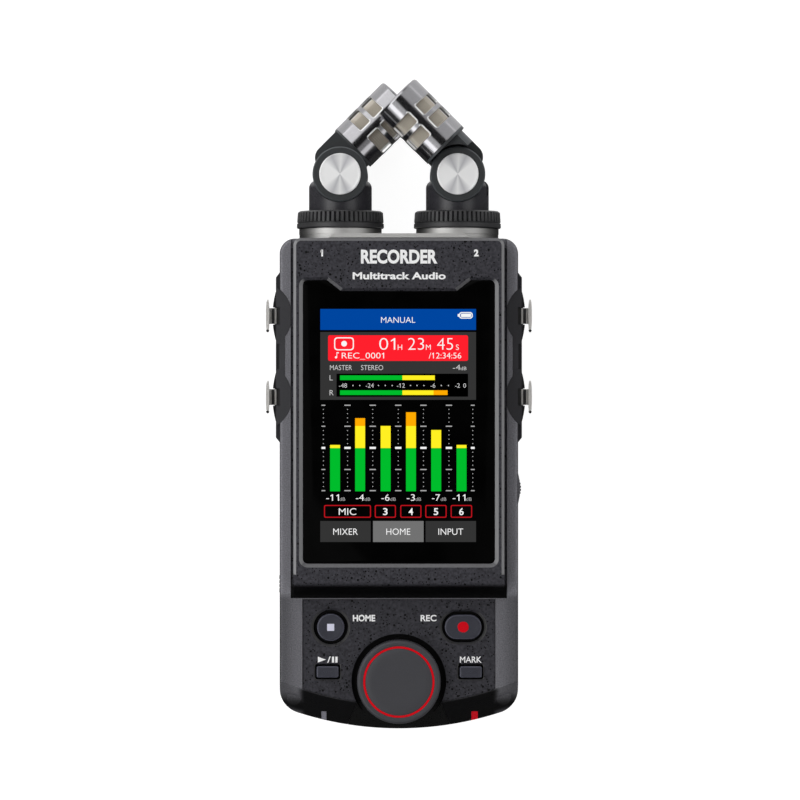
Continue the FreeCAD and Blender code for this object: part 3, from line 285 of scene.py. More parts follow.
def case_grey(name, colour, roughness):
    """Fine-textured grey plastic with painted shade down its side walls and over its lower part,
    and painted shade that takes it nearly to black over the bevel of the arched end."""
    material, tree, bsdf = new_material(name)
    factor = grain(tree, 0.4)
    tint = between(tree, factor, scaled(colour, 0.78), scaled(colour, 1.22))
    place = components(tree, own_space(tree))
    x, y = place["X"], place["Y"]
    upright = facing(tree)["Z"]
    sideways = math_node(tree, "ABSOLUTE", x)
    # Painted shade, nearly black: beyond the arch, on the lower end's front, and where the front
    # rounds into the walls
    rise = math_node(tree, "SUBTRACT", y, ARCH_CENTRE_Y * MM)
    reach = math_node(tree, "SQRT", math_node(
        tree, "ADD", product(tree, x, x), product(tree, rise, rise)))
    beyond = fade_mm(tree, reach, (ARCH_R - 0.6, ARCH_R + 0.8))
    bevel = product(tree, beyond, fade_mm(tree, sideways, CORNER_FADE),
                    fade_mm(tree, y, LOW_END_FADE))
    end = product(tree, fade_mm(tree, y, END_FADE), fade_mm(tree, place["Z"], FRONT_FADE))
    wall = product(tree, fade(tree, upright, 0.8, 0.42), fade(tree, upright, 0.3, 0.08, 0.9, 0.5))
    dark = math_node(tree, "MAXIMUM", math_node(tree, "MAXIMUM", bevel, end), wall)
    # Painted shade: the front's lower part, most of all towards the sides
    lower = product(tree, fade_mm(tree, y, LOWER_FADE), fade(tree, upright, 0.1, 0.55))
    lower_side = product(tree, fade_mm(tree, sideways, SIDE_FADE), lower)
    shade = product(tree, fade(tree, lower_side, 0.0, 1.0, 1.0, LOWER_SIDE_SHADE),
                    fade(tree, lower, 0.0, 1.0, 1.0, LOWER_SHADE),
                    fade(tree, dark, 0.0, 1.0, 1.0, PAINTED_SHADE_KEEP))
    tree.links.new(brightened(tree, tint, shade), bsdf.inputs["Base Color"])
    vary_roughness(tree, bsdf, factor, roughness, 0.06)
    bump(tree, bsdf, factor, 0.12)
    bsdf.inputs["Specular IOR Level"].default_value = SATIN
    return material


def metal(name, colour, roughness, stretch=EVEN, metallic=1.0, shaded_flanks=1.0, relief=0.004):
    """Brushed or satin metal, with fine lines where stretch draws the grain out. Shaded_flanks is
    the share of its brightness that it keeps where it turns to the left or right: painted shade on
    its flanks."""
    material, tree, bsdf = new_material(name)
    factor = grain(tree, 0.25, stretch)
    tint = between(tree, factor, scaled(colour, 0.9), scaled(colour, 1.06))
    # Painted shade where the surface turns to the left or right
    if shaded_flanks < 1.0:
        across = math_node(tree, "ABSOLUTE", facing(tree)["X"])
        tint = brightened(tree, tint, fade(tree, across, 0.45, 0.97, 1.0, shaded_flanks))
    tree.links.new(tint, bsdf.inputs["Base Color"])
    vary_roughness(tree, bsdf, factor, roughness, 0.03)
    bump(tree, bsdf, factor, relief)
    bsdf.inputs["Metallic"].default_value = metallic
    return material


def spun_metal():
    """Face-turned metal: fine circular lines, and a painted reflection in its colour: the fan of
    light and dark that such lines give.
    """
    material, tree, bsdf = new_material("spun_silver")
    coords = own_space(tree)
    fan = tree.nodes.new("ShaderNodeTexGradient")
    fan.gradient_type = "RADIAL"
    tree.links.new(coords, fan.inputs["Vector"])
    ramp = tree.nodes.new("ShaderNodeValToRGB")
    stops = ramp.color_ramp.elements
    light, mid, dark = grey(0.99), grey(0.88), grey(0.56, (1.0, 1.0, 1.04))
    # Painted reflection, once round from the left: light at both sides, dark streaks beside a
    # lighter top and foot
    painted_fan = ((0.0, light), (0.10, light), (0.19, dark), (0.25, mid), (0.31, dark), (0.38, light),
            (0.60, light), (0.68, dark), (0.74, mid), (0.82, dark), (0.90, light))
    while len(stops) < len(painted_fan):
        stops.new(0.5)
    for stop, (position, colour) in zip(stops, painted_fan):
        stop.position = position
        stop.color = colour
    tree.links.new(fan.outputs["Fac"], ramp.inputs["Fac"])
    tree.links.new(ramp.outputs["Color"], bsdf.inputs["Base Color"])
    lines = tree.nodes.new("ShaderNodeTexWave")
    lines.wave_type = "RINGS"
    lines.rings_direction = "Z"
    lines.inputs["Scale"].default_value = 1 / (0.9 * MM)
    lines.inputs["Distortion"].default_value = 1.2
    tree.links.new(coords, lines.inputs["Vector"])
    bump(tree, bsdf, lines.outputs["Fac"], 0.003)
    bsdf.inputs["Metallic"].default_value = 0.3
    bsdf.inputs["Roughness"].default_value = 0.42
    return material


def lit(name, colour):
    """Part of a lit screen behind glossy glass, with the faint stripes of its pixel columns."""
    material, tree, bsdf = new_material(name)
    columns = tree.nodes.new("ShaderNodeTexWave")
    columns.bands_direction = "X"
    columns.inputs["Scale"].default_value = 1 / (0.5 * MM)
    tree.links.new(own_space(tree), columns.inputs["Vector"])
    tint = between(tree, columns.outputs["Fac"], scaled(colour, 0.94), scaled(colour, 1.0),
                   0.0, 1.0)
    tree.links.new(tint, bsdf.inputs["Emission Color"])
    bsdf.inputs["Emission Strength"].default_value = 1.0
    bsdf.inputs["Base Color"].default_value = scaled(colour, 0.05)
    bsdf.inputs["Roughness"].default_value = 0.12
    bsdf.inputs["Specular IOR Level"].default_value = 0.08
    return material


def cover_glass_material():
    """Black-backed cover glass: deep black, smooth, with the faintest smear in its gloss."""
    material, tree, bsdf = new_material("cover_glass")
    factor = grain(tree, 9.0)
    tint = between(tree, factor, grey(0.0008), grey(0.0016))
    tree.links.new(tint, bsdf.inputs["Base Color"])
    vary_roughness(tree, bsdf, factor, 0.09, 0.03)
    bsdf.inputs["Specular IOR Level"].default_value = 0.03
    return material


BLUISH = (1.01, 0.99, 1.17)
PLASTICS = {
    # colour, roughness, grain size, spread of the colour, grain depth, specular level, and how
    # bright sloping edges are painted: a painted highlight above 1, painted shade below 1
    # The sockets' sloping edges carry painted shade
    "socket_dark": (grey(0.025, BLUISH), 0.45, 0.3, 0.10, 0.02, 0.25, 0.35),
    "trim_black": (grey(0.008), 0.3, 0.35, 0.06, 0.006, 0.12),
    # The keys' rounded edges carry a painted highlight
    "button_black": (grey(0.040, (0.95, 0.98, 1.3)), 0.38, 0.4, 0.08, 0.01, 0.35, 2.4),
    # Nearly black: a dark flange, with painted shade in the gap round each key
    "flange_black": (grey(0.006), 0.6, 0.4, 0.10, 0.02, 0.05),
    "wheel_black": (grey(0.046, (1.0, 1.0, 1.15)), 0.5, 0.22, 0.1, 0.03, 0.4),
    "accent_red": ((0.68, 0.002, 0.010, 1.0), 0.4, 0.4, 0.05, 0.005, 0.12),
    "window_grey": (grey(0.22, BLUISH), 0.3, 0.5, 0.06, 0.004),
    "window_red": ((0.72, 0.003, 0.014, 1.0), 0.3, 0.5, 0.05, 0.004, 0.1),
    "screen": (grey(0.004), 0.3, 0.8),
    "knurl_black": (grey(0.028, (1.0, 1.0, 1.06)), 0.4, 0.3, 0.1, 0.01),
    "neck_black": (grey(0.029, BLUISH), 0.3, 0.25, 0.1, 0.008),
    # The arms' and hinge knobs' sloping edges carry a painted highlight
    "arm_grey": (grey(0.026, (0.9, 1.0, 1.08)), 0.45, 0.25, 0.08, 0.01, 0.5, 2.6),
    "capsule_dark": ((0.30, 0.265, 0.21, 1.0), 0.8, 0.3, 0.25, 0.05),
    "board_green": ((0.01, 0.07, 0.03, 1.0), 0.4, 1.5, 0.3, 0.02),
    "component_black": (grey(0.012), 0.4, 0.5),
    "cell_wrap": ((0.05, 0.05, 0.06, 1.0), 0.3, 3.0, 0.3, 0.004),
    "label_white": (grey(0.95), 0.5, 0.2, 0.04, 0.002),
    "label_lavender": ((0.72, 0.72, 0.86, 1.0), 0.45, 0.2, 0.04, 0.002),
}
METALS = {
    # colour, roughness, grain stretch, metallic, painted shade on the flanks as the share of
    # brightness kept there, relief
    # Silver keeps a small share of its brightness on its flanks: painted shade
    "silver": (grey(0.60, (1.0, 0.99, 0.97)), 0.48, (1.0, 12.0, 1.0), 0.8, 0.12),
    "pewter": (grey(0.40, (1.0, 0.99, 1.03)), 0.17, EVEN, 1.0, 1.0, 0.001),
    "rim_bright": (grey(0.78), 0.25),
    "mesh": ((0.80, 0.74, 0.64, 1.0), 0.5, EVEN, 0.3),
    "steel": (grey(0.55), 0.3),
    "tab_steel": (grey(0.80, (1.0, 0.98, 0.94)), 0.34, (1.0, 1.0, 9.0), 0.5),
    "brass": ((0.62, 0.45, 0.18, 1.0), 0.3),
}
MATERIALS = {
    # The grey case carries painted shade; the last colours given to housing_black and panel_black
    # are painted highlights on sloping edges, and apron and well say where their painted shade
    # falls
    "shell_grey": case_grey("shell_grey", grey(0.20, (1.01, 1.0, 1.10)), 0.5),
    "housing_black": flecked_paint("housing_black", grey(0.042, BLUISH), 0.44,
                                   grey(0.25, (1.0, 1.0, 1.03)),
                                   apron=(HOUSING_LOW.y + 5.2, HOUSING_LOW.y + 3.2)),
    "panel_black": flecked_paint("panel_black", grey(0.037, BLUISH), 0.5, grey(0.078),
                                 well=(PANEL_HIGH.z - 0.9, PANEL_HIGH.z - 1.8)),
    "cover_glass": cover_glass_material(),
    "spun_silver": spun_metal(),
}
MATERIALS.update({name: plastic(name, *settings) for name, settings in PLASTICS.items()})
MATERIALS.update({name: metal(name, *settings) for name, settings in METALS.items()})
# CAD nodes whose finish isn't that of their material slot
NODE_FINISH = {"mic_arm_left": "arm_grey", "mic_arm_right": "arm_grey",
               "hinge_knobs_left": "arm_grey", "hinge_knobs_right": "arm_grey"}


def dress_frame():
    """Gives every CAD node its finish, which is mostly that of its own material slot."""
    for name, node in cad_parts.items():
        for slot in node.material_slots:
            slot.material = MATERIALS[NODE_FINISH.get(name, slot.material.name)]


# ---------- shapes

def placed(name, data):
    """A new object in the scene."""
    holder = bpy.data.objects.new(name, data)
    bpy.context.scene.collection.objects.link(holder)
    return holder


class Shape:
    """Closed forms in millimetres that are gathered and made into one piece."""

    def __init__(self):
        self.bm = bmesh.new()

    def skin(self, rings, loop=False):
        """Faces between rings of points, with flat ends, or closed on itself as a loop."""
        made = [[self.bm.verts.new(p) for p in ring] for ring in rings]
        count = len(made[0])
        pairs = list(zip(made, made[1:]))
        if loop:
            pairs.append((made[-1], made[0]))
        for a, b in pairs:
            for i in range(count):
                j = (i + 1) % count
                self.bm.faces.new((a[i], a[j], b[j], b[i]))
        if not loop:
            self.bm.faces.new(made[0])
            self.bm.faces.new(made[-1])
        return self

    def prism(self, points, z):
        return self.skin([[Vector((x, y, level)) for x, y in points] for level in z])

    def rect(self, x, y, z):
        return self.prism([(x[0], y[0]), (x[1], y[0]), (x[1], y[1]), (x[0], y[1])], z)

    def frame_lines(self, x, y, width, z, corner):
        """A thin outlined box."""
        centre, size = (sum(x) / 2, sum(y) / 2), (x[1] - x[0], y[1] - y[0])
        outer = rounded(centre, size, corner, 3)
        inner = rounded(centre, (size[0] - 2 * width, size[1] - 2 * width), corner - width / 2, 3)
        rings = ((outer, z[0]), (outer, z[1]), (inner, z[1]), (inner, z[0]))
        return self.skin([[Vector((px, py, level)) for px, py in ring] for ring, level in rings],
                         loop=True)

    def text(self, words, start, height, z, width=None, weight=0.0, align="left"):
        """A line of lettering from its start, middle or end point on the base line."""
        mesh = lettering(words, weight)
        xs = [v.co.x for v in mesh.vertices]
        scale_y = height / CAP_HEIGHT
        scale_x = width / (max(xs) - min(xs)) if width else scale_y
        across = (max(xs) - min(xs)) * scale_x
        left = start[0] - {"left": 0.0, "centre": 0.5, "right": 1.0}[align] * across
        place = Matrix.Translation((left - min(xs) * scale_x, start[1], (z[0] + z[1]) / 2))
        place = place @ Matrix.Diagonal((scale_x, scale_y, (z[1] - z[0]), 1.0))
        mesh.transform(place)
        self.bm.from_mesh(mesh)
        bpy.data.meshes.remove(mesh)
        for i, letter in enumerate(words):
            if letter == "1":
                flag = flag_of_one(words[:i + 1], weight)
                self.skin([[place @ Vector((x, y, level)) for x, y in flag]
                           for level in (-0.5, 0.5)])
        return self

    def piece(self, name, body, slot, material=None, replaces=(), place=None, sharp=32):
        """Makes the gathered forms a piece that rides on a body."""
        bmesh.ops.recalc_face_normals(self.bm, faces=self.bm.faces)
        mesh = bpy.data.meshes.new(name)
        self.bm.to_mesh(mesh)
        self.bm.free()
        mesh.transform(Matrix.Scale(MM, 4))
        if place is not None:
            mesh.transform(place)
        mesh.shade_smooth()
        mesh.set_sharp_from_angle(angle=math.radians(sharp))
        mesh.materials.append(MATERIALS[material or slot])
        piece = placed(name, mesh)
        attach(piece, body)
        if replaces:
            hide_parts(*replaces)
        return piece


def lettering(words, weight):
    """A solid mesh of a line of text in the built-in sans-serif, one unit in size and depth."""
    curve = bpy.data.curves.new("lettering", "FONT")
    curve.body = words
    curve.offset = weight
    curve.extrude = 0.5
    curve.resolution_u = 4
    holder = placed("lettering", curve)
    bpy.context.view_layer.update()
    graph = bpy.context.evaluated_depsgraph_get()
    mesh = bpy.data.meshes.new_from_object(holder.evaluated_get(graph))
    bpy.data.objects.remove(holder)
    bpy.data.curves.remove(curve)
    return mesh


def flag_of_one(words, weight):
    """Outline of a short stroke at the top left of the figure 1 that ends some words."""
    stem = lettering("1", weight)
    stroke = max(v.co.x for v in stem.vertices) - min(v.co.x for v in stem.vertices)
    mesh = lettering(words, weight)
    x = max(v.co.x for v in mesh.vertices) - stroke / 2
    bpy.data.meshes.remove(stem)
    bpy.data.meshes.remove(mesh)
    reach = 0.17
    top = CAP_HEIGHT + weight
    return [(x, top - stroke * 1.5), (x, top), (x - reach, top - 0.75 * reach),
            (x - reach, top - 0.75 * reach - stroke)]


def measure_capitals():
    mesh = lettering("H", 0.0)
    height = max(v.co.y for v in mesh.vertices)
    bpy.data.meshes.remove(mesh)
    return height


CAP_HEIGHT = measure_capitals()


def rounded(centre, size, radius, steps):
    """Points round a rectangle with rounded corners, from its top right corner leftwards."""
    half_x, half_y = size[0] / 2 - radius, size[1] / 2 - radius
    points = []
    for i, (sx, sy) in enumerate(((1, 1), (-1, 1), (-1, -1), (1, -1))):
        for k in range(steps + 1):
            a = math.radians(90 * i + 90 * k / steps)
            points.append((centre[0] + sx * half_x + radius * math.cos(a),
                           centre[1] + sy * half_y + radius * math.sin(a)))
    return points


def quarter_turn(steps=5):
    """Cosines and sines of the steps of a quarter circle, without its start."""
    angles = [math.radians(90 / steps * k) for k in range(1, steps + 1)]
    return [(math.cos(a), math.sin(a)) for a in angles]


def circle(radius, steps, centre=(0.0, 0.0)):
    return [(centre[0] + radius * math.cos(2 * math.pi * i / steps),
             centre[1] + radius * math.sin(2 * math.pi * i / steps)) for i in range(steps)]


def lathe(profile, steps, wave=None, loop=False):
    """Rings of a turned shape round +Z from (radius, height) points. wave(angle, index) is what
    it takes off the radius."""
    rings = []
    for index, (radius, height) in enumerate(profile):
        ring = []
        for i in range(steps):
            a = 2 * math.pi * i / steps
            r = max(radius - (wave(a, index) if wave else 0.0), 0.01)
            ring.append(Vector((r * math.cos(a), r * math.sin(a), height)))
        rings.append(ring)
    if loop:
        rings.append(rings[0])
    return rings


def turned(axis_matrix, rings):
    return [[axis_matrix @ p for p in ring] for ring in rings]


def teeth(count, depth, rows):
    """Wave for lathe: narrow grooves between flat-topped ribs on the given profile rows."""
    def wave(angle, index):
        if index not in rows:
            return 0.0
        return depth * max(0.0, math.cos(count * angle)) ** 2
    return wave


def dome(outline, levels):
    """Rings of a form whose outline shrinks evenly: levels are (inset, height) pairs."""
    rings = []
    for inset, height in levels:
        rings.append([Vector((x, y, height)) for x, y in outline(inset)])
    return rings


# ---------- display

# The glass's corners and notch, and the lit picture's place and layers on it
WINDOW_CORNER = 1.55
CORNER_STEPS = 6
NOTCH_DROP = 3.5
NOTCH_OUTER = 23.1
NOTCH_INNER = 18.6
GLASS_EDGE = 0.3
SCREEN_LEFT = -25.26
SCREEN_TOP = 30.3
SCREEN_WIDTH = 50.05
SCREEN_GAP = 0.002
SCREEN_LAYER = 0.02
TEXT_LEVEL = 3


def window_outline(inset):
    """Plan of the glass: a rounded rectangle whose top edge steps down in the middle."""
    low, high = GLASS_LOW.y + inset, GLASS_HIGH.y - inset
    size = (2 * (GLASS_HIGH.x - inset), high - low)
    points = rounded((0, (low + high) / 2), size, WINDOW_CORNER, CORNER_STEPS)
    notch = high - NOTCH_DROP
    after_first = CORNER_STEPS + 1
    points[after_first:after_first] = [(NOTCH_OUTER, high), (NOTCH_INNER, notch),
                                       (-NOTCH_INNER, notch), (-NOTCH_OUTER, high)]
    return points


def cover_glass():
    top = GLASS_HIGH.z
    levels = [(0.0, GLASS_LOW.z), (0.0, top - GLASS_EDGE), (0.1, top - 0.08), (GLASS_EDGE, top)]
    Shape().skin(dome(window_outline, levels)).piece(
        "cover_glass", "recorder", "cover_glass", replaces=["display_glass"])


class Screen:
    """The lit picture. Distances run right and down from its top left corner, in millimetres."""

    def __init__(self):
        self.shapes = {}

    def layer(self, level):
        low = GLASS_HIGH.z + SCREEN_GAP + level * SCREEN_LAYER
        return low, low + SCREEN_LAYER

    def shape(self, colour):
        return self.shapes.setdefault(colour, Shape())

    def point(self, across, down):
        return SCREEN_LEFT + across, SCREEN_TOP - down

    def spans(self, across, down):
        (left, top), (right, low) = (self.point(*corner) for corner in zip(across, down))
        return (left, right), (low, top)

    def rect(self, colour, across, down, level=0):
        self.shape(colour).rect(*self.spans(across, down), self.layer(level))

    def plate(self, colour, across, down, radius, level=0):
        centre = self.point(sum(across) / 2, sum(down) / 2)
        size = (across[1] - across[0], down[1] - down[0])
        self.shape(colour).prism(rounded(centre, size, radius, 4), self.layer(level))

    def frame(self, colour, across, down, line, level=0, corner=0.5):
        self.shape(colour).frame_lines(*self.spans(across, down), line, self.layer(level), corner)

    def dot(self, colour, across, down, radius, level=0, steps=20):
        centre = self.point(across, down)
        self.shape(colour).prism(circle(radius, steps, centre), self.layer(level))

    def text(self, colour, words, across, down, height, width=None, align="left", weight=-0.006):
        """Lettering whose base line is down from the top edge."""
        self.shape(colour).text(words, self.point(across, down), height,
                                self.layer(TEXT_LEVEL), width, weight, align)


# Middles of the six level bars, how far down their yellow and orange parts start, their values,
# and the columns and rows of the ticks between them
CHANNELS = (4.75, 12.8, 21.0, 29.15, 37.25, 45.4)
CHANNEL_YELLOW = (43.7, 37.6, 37.6, 37.6, 38.9, 43.7)
CHANNEL_ORANGE = {1: 35.1, 3: 33.2}
CHANNEL_VALUES = ("-11", "-4", "-6", "-3", "-7", "-11")
TICK_COLUMNS = (1.0, 8.75, 16.85, 25.05, 33.15, 41.35, 49.0)
TICK_ROWS = (30.95, 37.7, 44.65, 51.6, 58.4)


def screen_header(screen):
    screen.rect("blue", (0, SCREEN_WIDTH), (0, 6.75))
    screen.text("white", "MANUAL", SCREEN_WIDTH / 2, 4.45, 1.85, 11.0, "centre")
    screen.frame("white", (44.6, 49.0), (1.0, 3.1), 0.3, 1, 0.8)
    screen.plate("white", (44.15, 44.7), (1.6, 2.5), 0.2, 1)
    screen.plate("white", (45.2, 48.5), (1.5, 2.6), 0.3, 1)


def screen_clock(screen):
    screen.rect("grey", (0, SCREEN_WIDTH), (7.4, 29.2))
    screen.plate("red", (2.5, 47.5), (8.45, 16.7), 0.6, 1)
    screen.frame("white", (4.45, 10.8), (9.1, 13.3), 0.35, 2, 1.0)
    screen.dot("white", 7.65, 11.15, 0.92, 2)
    for digits, unit, left, unit_left in (("01", "H", 18.95, 24.9), ("23", "M", 28.2, 33.95),
                                          ("45", "S", 37.5, 43.6)):
        screen.text("white", digits, left, 13.15, 3.85, 5.15, weight=-0.014)
        screen.text("white", unit, unit_left, 13.15, 1.7)
    screen.dot("white", 5.05, 15.55, 0.35, 2)
    screen.rect("white", (5.22, 5.42), (13.9, 15.6), 2)
    screen.rect("white", (5.42, 5.95), (13.9, 14.25), 2)
    screen.text("white", "REC_0001", 6.9, 15.9, 1.85, 13.6)
    screen.text("white", "/12:34:56", 45.3, 15.9, 1.85, 10.4, "right")


def screen_master(screen):
    screen.text("pale", "MASTER", 3.1, 19.65, 1.6, 7.1)
    screen.text("pale", "STEREO", 13.1, 19.65, 1.6, 7.1)
    screen.text("pale", "-4", 42.6, 19.65, 1.75, 2.4)
    screen.text("pale", "dB", 45.1, 19.65, 1.1, 1.9)
    screen.rect("black", (5.2, 47.5), (20.8, 28.2), 1)
    for letter, down, ends in (("L", 21.35, (36.8, None)), ("R", 26.15, (36.4, 40.9))):
        rows = (down, down + 1.5)
        screen.text("pale", letter, 3.0, down + 1.6, 1.7)
        screen.rect("green", (6.35, 26.4), rows, 2)
        screen.rect("yellow", (26.4, ends[0]), rows, 2)
        if ends[1]:
            screen.rect("orange", (ends[0], ends[1]), rows, 2)
    for words, across in (("-48", 7.3), ("-24", 15.9), ("-12", 25.9), ("-6", 36.2), ("-2", 44.1),
                          ("0", 46.4)):
        screen.text("pale", words, across, 25.3, 1.4, None, "centre")
    for across in (10.5, 12.7, 18.7, 20.9, 23.1, 29.0, 31.1, 33.3, 38.9, 41.2):
        screen.dot("pale", across, 24.6, 0.2, 2, 8)


def screen_channels(screen):
    for i, across in enumerate(CHANNELS):
        columns = (across - 1.6, across + 1.6)
        screen.rect("green", columns, (44.7, 58.6))
        screen.rect("yellow", columns, (CHANNEL_YELLOW[i], 44.7))
        if i in CHANNEL_ORANGE:
            screen.rect("orange", columns, (CHANNEL_ORANGE[i], CHANNEL_YELLOW[i]))
        wide = len(CHANNEL_VALUES[i]) > 2
        screen.text("white", CHANNEL_VALUES[i], across + 1.25, 61.65, 2.1,
                    4.1 if wide else 2.6, "right")
        screen.text("dim", "dB", across + 1.45, 61.65, 1.05, 1.8)
    for column, across in enumerate(TICK_COLUMNS):
        edge = column in (0, len(TICK_COLUMNS) - 1)
        half = 0.6 if edge else 1.0
        for row, down in enumerate(TICK_ROWS):
            bold = row == 2
            colour = "white" if bold else "dim"
            thick = 0.34 if bold else 0.17
            screen.rect(colour, (across - half, across + half), (down - thick, down + thick))
            if row:
                step = (down - TICK_ROWS[row - 1]) / 5
                for k in range(1, 5):
                    screen.dot("dim", across, down - k * step, 0.17, 0, 6)


def screen_keys(screen):
    for words, left, right in (("MIC", 1.2, 16.3), ("3", 17.5, 24.3), ("4", 25.7, 32.5),
                               ("5", 33.75, 40.6), ("6", 41.9, 48.8)):
        screen.frame("deep_red", (left, right), (63.0, 67.1), 0.32)
        width, weight = (5.6, -0.004) if len(words) > 1 else (1.45, 0.012)
        screen.text("white", words, (left + right) / 2, 66.2, 2.15, width, "centre",
                    weight=weight)
    for words, left, right, colour, width in (("MIXER", 0, 16.2, "grey", 7.9),
                                              ("HOME", 16.95, 33.2, "mid", 7.7),
                                              ("INPUT", 33.85, SCREEN_WIDTH, "grey", 8.0)):
        screen.rect(colour, (left, right), (68.15, 74.9))
        screen.text("white", words, (left + right) / 2, 72.6, 2.05, width, "centre")


SCREEN_COLOURS = {
    "blue": (0.0, 0.060, 0.345, 1.0),
    "grey": grey(0.034),
    "mid": grey(0.165),
    "red": (1.0, 0.014, 0.026, 1.0),
    "deep_red": (0.50, 0.007, 0.013, 1.0),
    "green": (0.0, 0.500, 0.025, 1.0),
    "yellow": (1.0, 0.86, 0.016, 1.0),
    "orange": (1.0, 0.40, 0.0, 1.0),
    "black": grey(0.0),
    "white": grey(0.92),
    "pale": grey(0.62),
    "dim": grey(0.42),
}


def screen_picture():
    screen = Screen()
    for part in (screen_header, screen_clock, screen_master, screen_channels, screen_keys):
        part(screen)
    for colour, shape in screen.shapes.items():
        name = f"screen_{colour}"
        MATERIALS[name] = lit(name, SCREEN_COLOURS[colour])
        shape.piece(name, "recorder", "screen", name)


# ---------- controls

WHEEL_GRIPS = 96
RING_WIDTH = 0.66
VOLUME_GRIPS = 44
LABEL_RISE = 0.03
LABEL_SINK = 0.01
MARK_RISE = 0.12
MARK_SINK = 0.15


def data_wheel():
    """Wheel with a serrated side, a rounded rim, a groove for its ring and a slightly dished
    disc."""
    low, high = WHEEL_LOW.z, WHEEL_HIGH.z
    rim = WHEEL_HIGH.x
    ring_out, ring_in = RING_HIGH.x + 0.03, RING_HIGH.x - RING_WIDTH - 0.03
    seat = RING_LOW.z
    profile = [(rim - 2.2, low + 3.0), (rim - 2.0, low), (rim - 0.3, low), (rim, low + 0.3),
               (rim, low + 0.8), (rim, low + 0.9), (rim, high - 1.7), (rim, high - 1.6),
               (rim, high - 1.0)]
    profile += [(rim - 1.0 + along, high - 1.0 + up) for along, up in quarter_turn()]
    profile += [(ring_out + 0.25, high), (ring_out, high - 0.12), (ring_out, seat), (ring_in, seat),
                (ring_in, high - 0.15), (ring_in - 0.2, high - 0.05), (ring_in - 2.5, high - 0.12),
                (4.0, high - 0.2), (0.02, high - 0.22)]
    wave = teeth(WHEEL_GRIPS, 0.22, (5, 6))
    to_axis = Matrix.Translation((*node_centre("data_wheel"), 0))
    Shape().skin(turned(to_axis, lathe(profile, WHEEL_GRIPS * 4, wave))).piece(
        "data_wheel_body", "wheel", "wheel_black", replaces=["data_wheel"])


KEYS = {
    # size and corner radius
    "home": ((8.8, 8.8), 4.39),
    "rec": ((11.9, 7.9), 3.94),
    "play": ((7.1, 3.65), 0.6),
    "mark": ((7.1, 3.65), 0.6),
}


def key(name):
    """A push button: a dark flange, straight sides, a rounded edge and a shallow dish on top.
    Gives the dish's height."""
    size, radius = KEYS[name]
    node = f"{name}_button"
    low, high = box_mm(node)
    centre = node_centre(node)
    flange_top = low.z + 0.85
    flange = 0.75
    edge = 0.5
    dish = 0.26 if min(size) > 5 else 0.08

    def outline(inset):
        r = max(radius - inset, 0.05)
        return rounded(centre, (size[0] - 2 * inset, size[1] - 2 * inset), r, 10)

    # The flange is nearly black: its own dark colour, with painted shade in the gap round the key
    levels = [(-flange, low.z), (-flange, flange_top - 0.1), (0.1 - flange, flange_top)]
    Shape().skin(dome(outline, levels)).piece(
        f"{name}_key_flange", f"{name}_key", "button_black", "flange_black")
    levels = [(0.0, flange_top - 0.1), (0.0, high.z - edge)]
    levels += [(edge * (1 - along), high.z - edge + edge * up) for along, up in quarter_turn()]
    for share in (0.3, 0.55, 0.8, 0.97):
        sunk = dish * (1 - (1 - share) ** 2)
        levels.append((edge + share * (min(size) / 2 - edge), high.z - sunk))
    Shape().skin(dome(outline, levels)).piece(f"{name}_key_cap", f"{name}_key", "button_black",
                                              replaces=[node])
    return high.z - dish


def keys():
    """The keys, with a pale square on one and a red dot on another."""
    marks = {}
    for name in KEYS:
        top = key(name)
        marks[name] = (top - MARK_SINK, top + MARK_RISE)
    Shape().prism(rounded(node_centre("home_button"), (2.3, 2.3), 0.15, 2), marks["home"]).piece(
        "home_key_mark", "home_key", "button_black", "label_lavender")
    low, high = marks["rec"]
    centre = node_centre("rec_button")
    Shape().skin(dome(lambda inset: circle(1.8 - inset, 40, centre),
                      [(0.0, low), (0.0, high - 0.1), (0.12, high)])).piece(
        "rec_key_mark", "rec_key", "accent_red")


def labels():
    """Printed words and signs: beside the keys, and a channel number under each microphone."""
    panel, housing = ((top - LABEL_SINK, top + LABEL_RISE)
                      for top in (PANEL_HIGH.z, HOUSING_HIGH.z))
    home, rec, play, mark = (node_centre(f"{name}_button") for name in KEYS)
    shape = Shape()
    shape.text("HOME", (home[0] + 7.15, home[1] + 2.0), 1.9, panel, 7.2, 0.035)
    shape.text("REC", (rec[0] - 13.75, rec[1] + 1.9), 1.9, panel, 5.1, 0.022)
    shape.text("MARK", (mark[0], mark[1] + 3.0), 1.9, panel, 7.0, 0.012, "centre")
    x, y = play[0] - 3.15, play[1] + 3.0
    shape.prism([(x, y), (x + 2.6, y + 0.95), (x, y + 1.9)], panel)
    shape.prism([(x + 3.0, y - 0.1), (x + 3.35, y - 0.1), (x + 4.15, y + 2.0), (x + 3.8, y + 2.0)],
                panel)
    for across in (4.55, 5.65):
        shape.rect((x + across, x + across + 0.7), (y, y + 1.9), panel)
    for side, words in (("left", "1"), ("right", "2")):
        shape.text(words, (SIDES[side] * 24.75 + 0.1, 47.3), 1.95, housing, None, 0.05, "centre")
    shape.text("RECORDER", (0.1, 45.1), 4.0, housing, 24.6, 0.04, "centre")
    shape.text("Multitrack Audio", (0.1, 39.9), 2.1, housing, 29.9, 0.03, "centre")
    shape.piece("printed_labels", "recorder", "housing_black", "label_white")


def volume_wheel():
    low, high = box_mm("volume_wheel")
    radius = (high.x - low.x) / 2
    bore = 2.1
    profile = [(bore, low.z), (radius - 0.5, low.z), (radius, low.z + 0.5), (radius, high.z - 0.5),
               (radius - 0.5, high.z), (bore, high.z)]
    wave = teeth(VOLUME_GRIPS, 0.45, (1, 2, 3, 4))
    to_axis = Matrix.Translation((*node_centre("volume_wheel"), 0))
    rings = turned(to_axis, lathe(profile, VOLUME_GRIPS * 6, wave))
    Shape().skin(rings, loop=True).piece("volume_wheel_body", "volume", "knurl_black",
                                         replaces=["volume_wheel"])


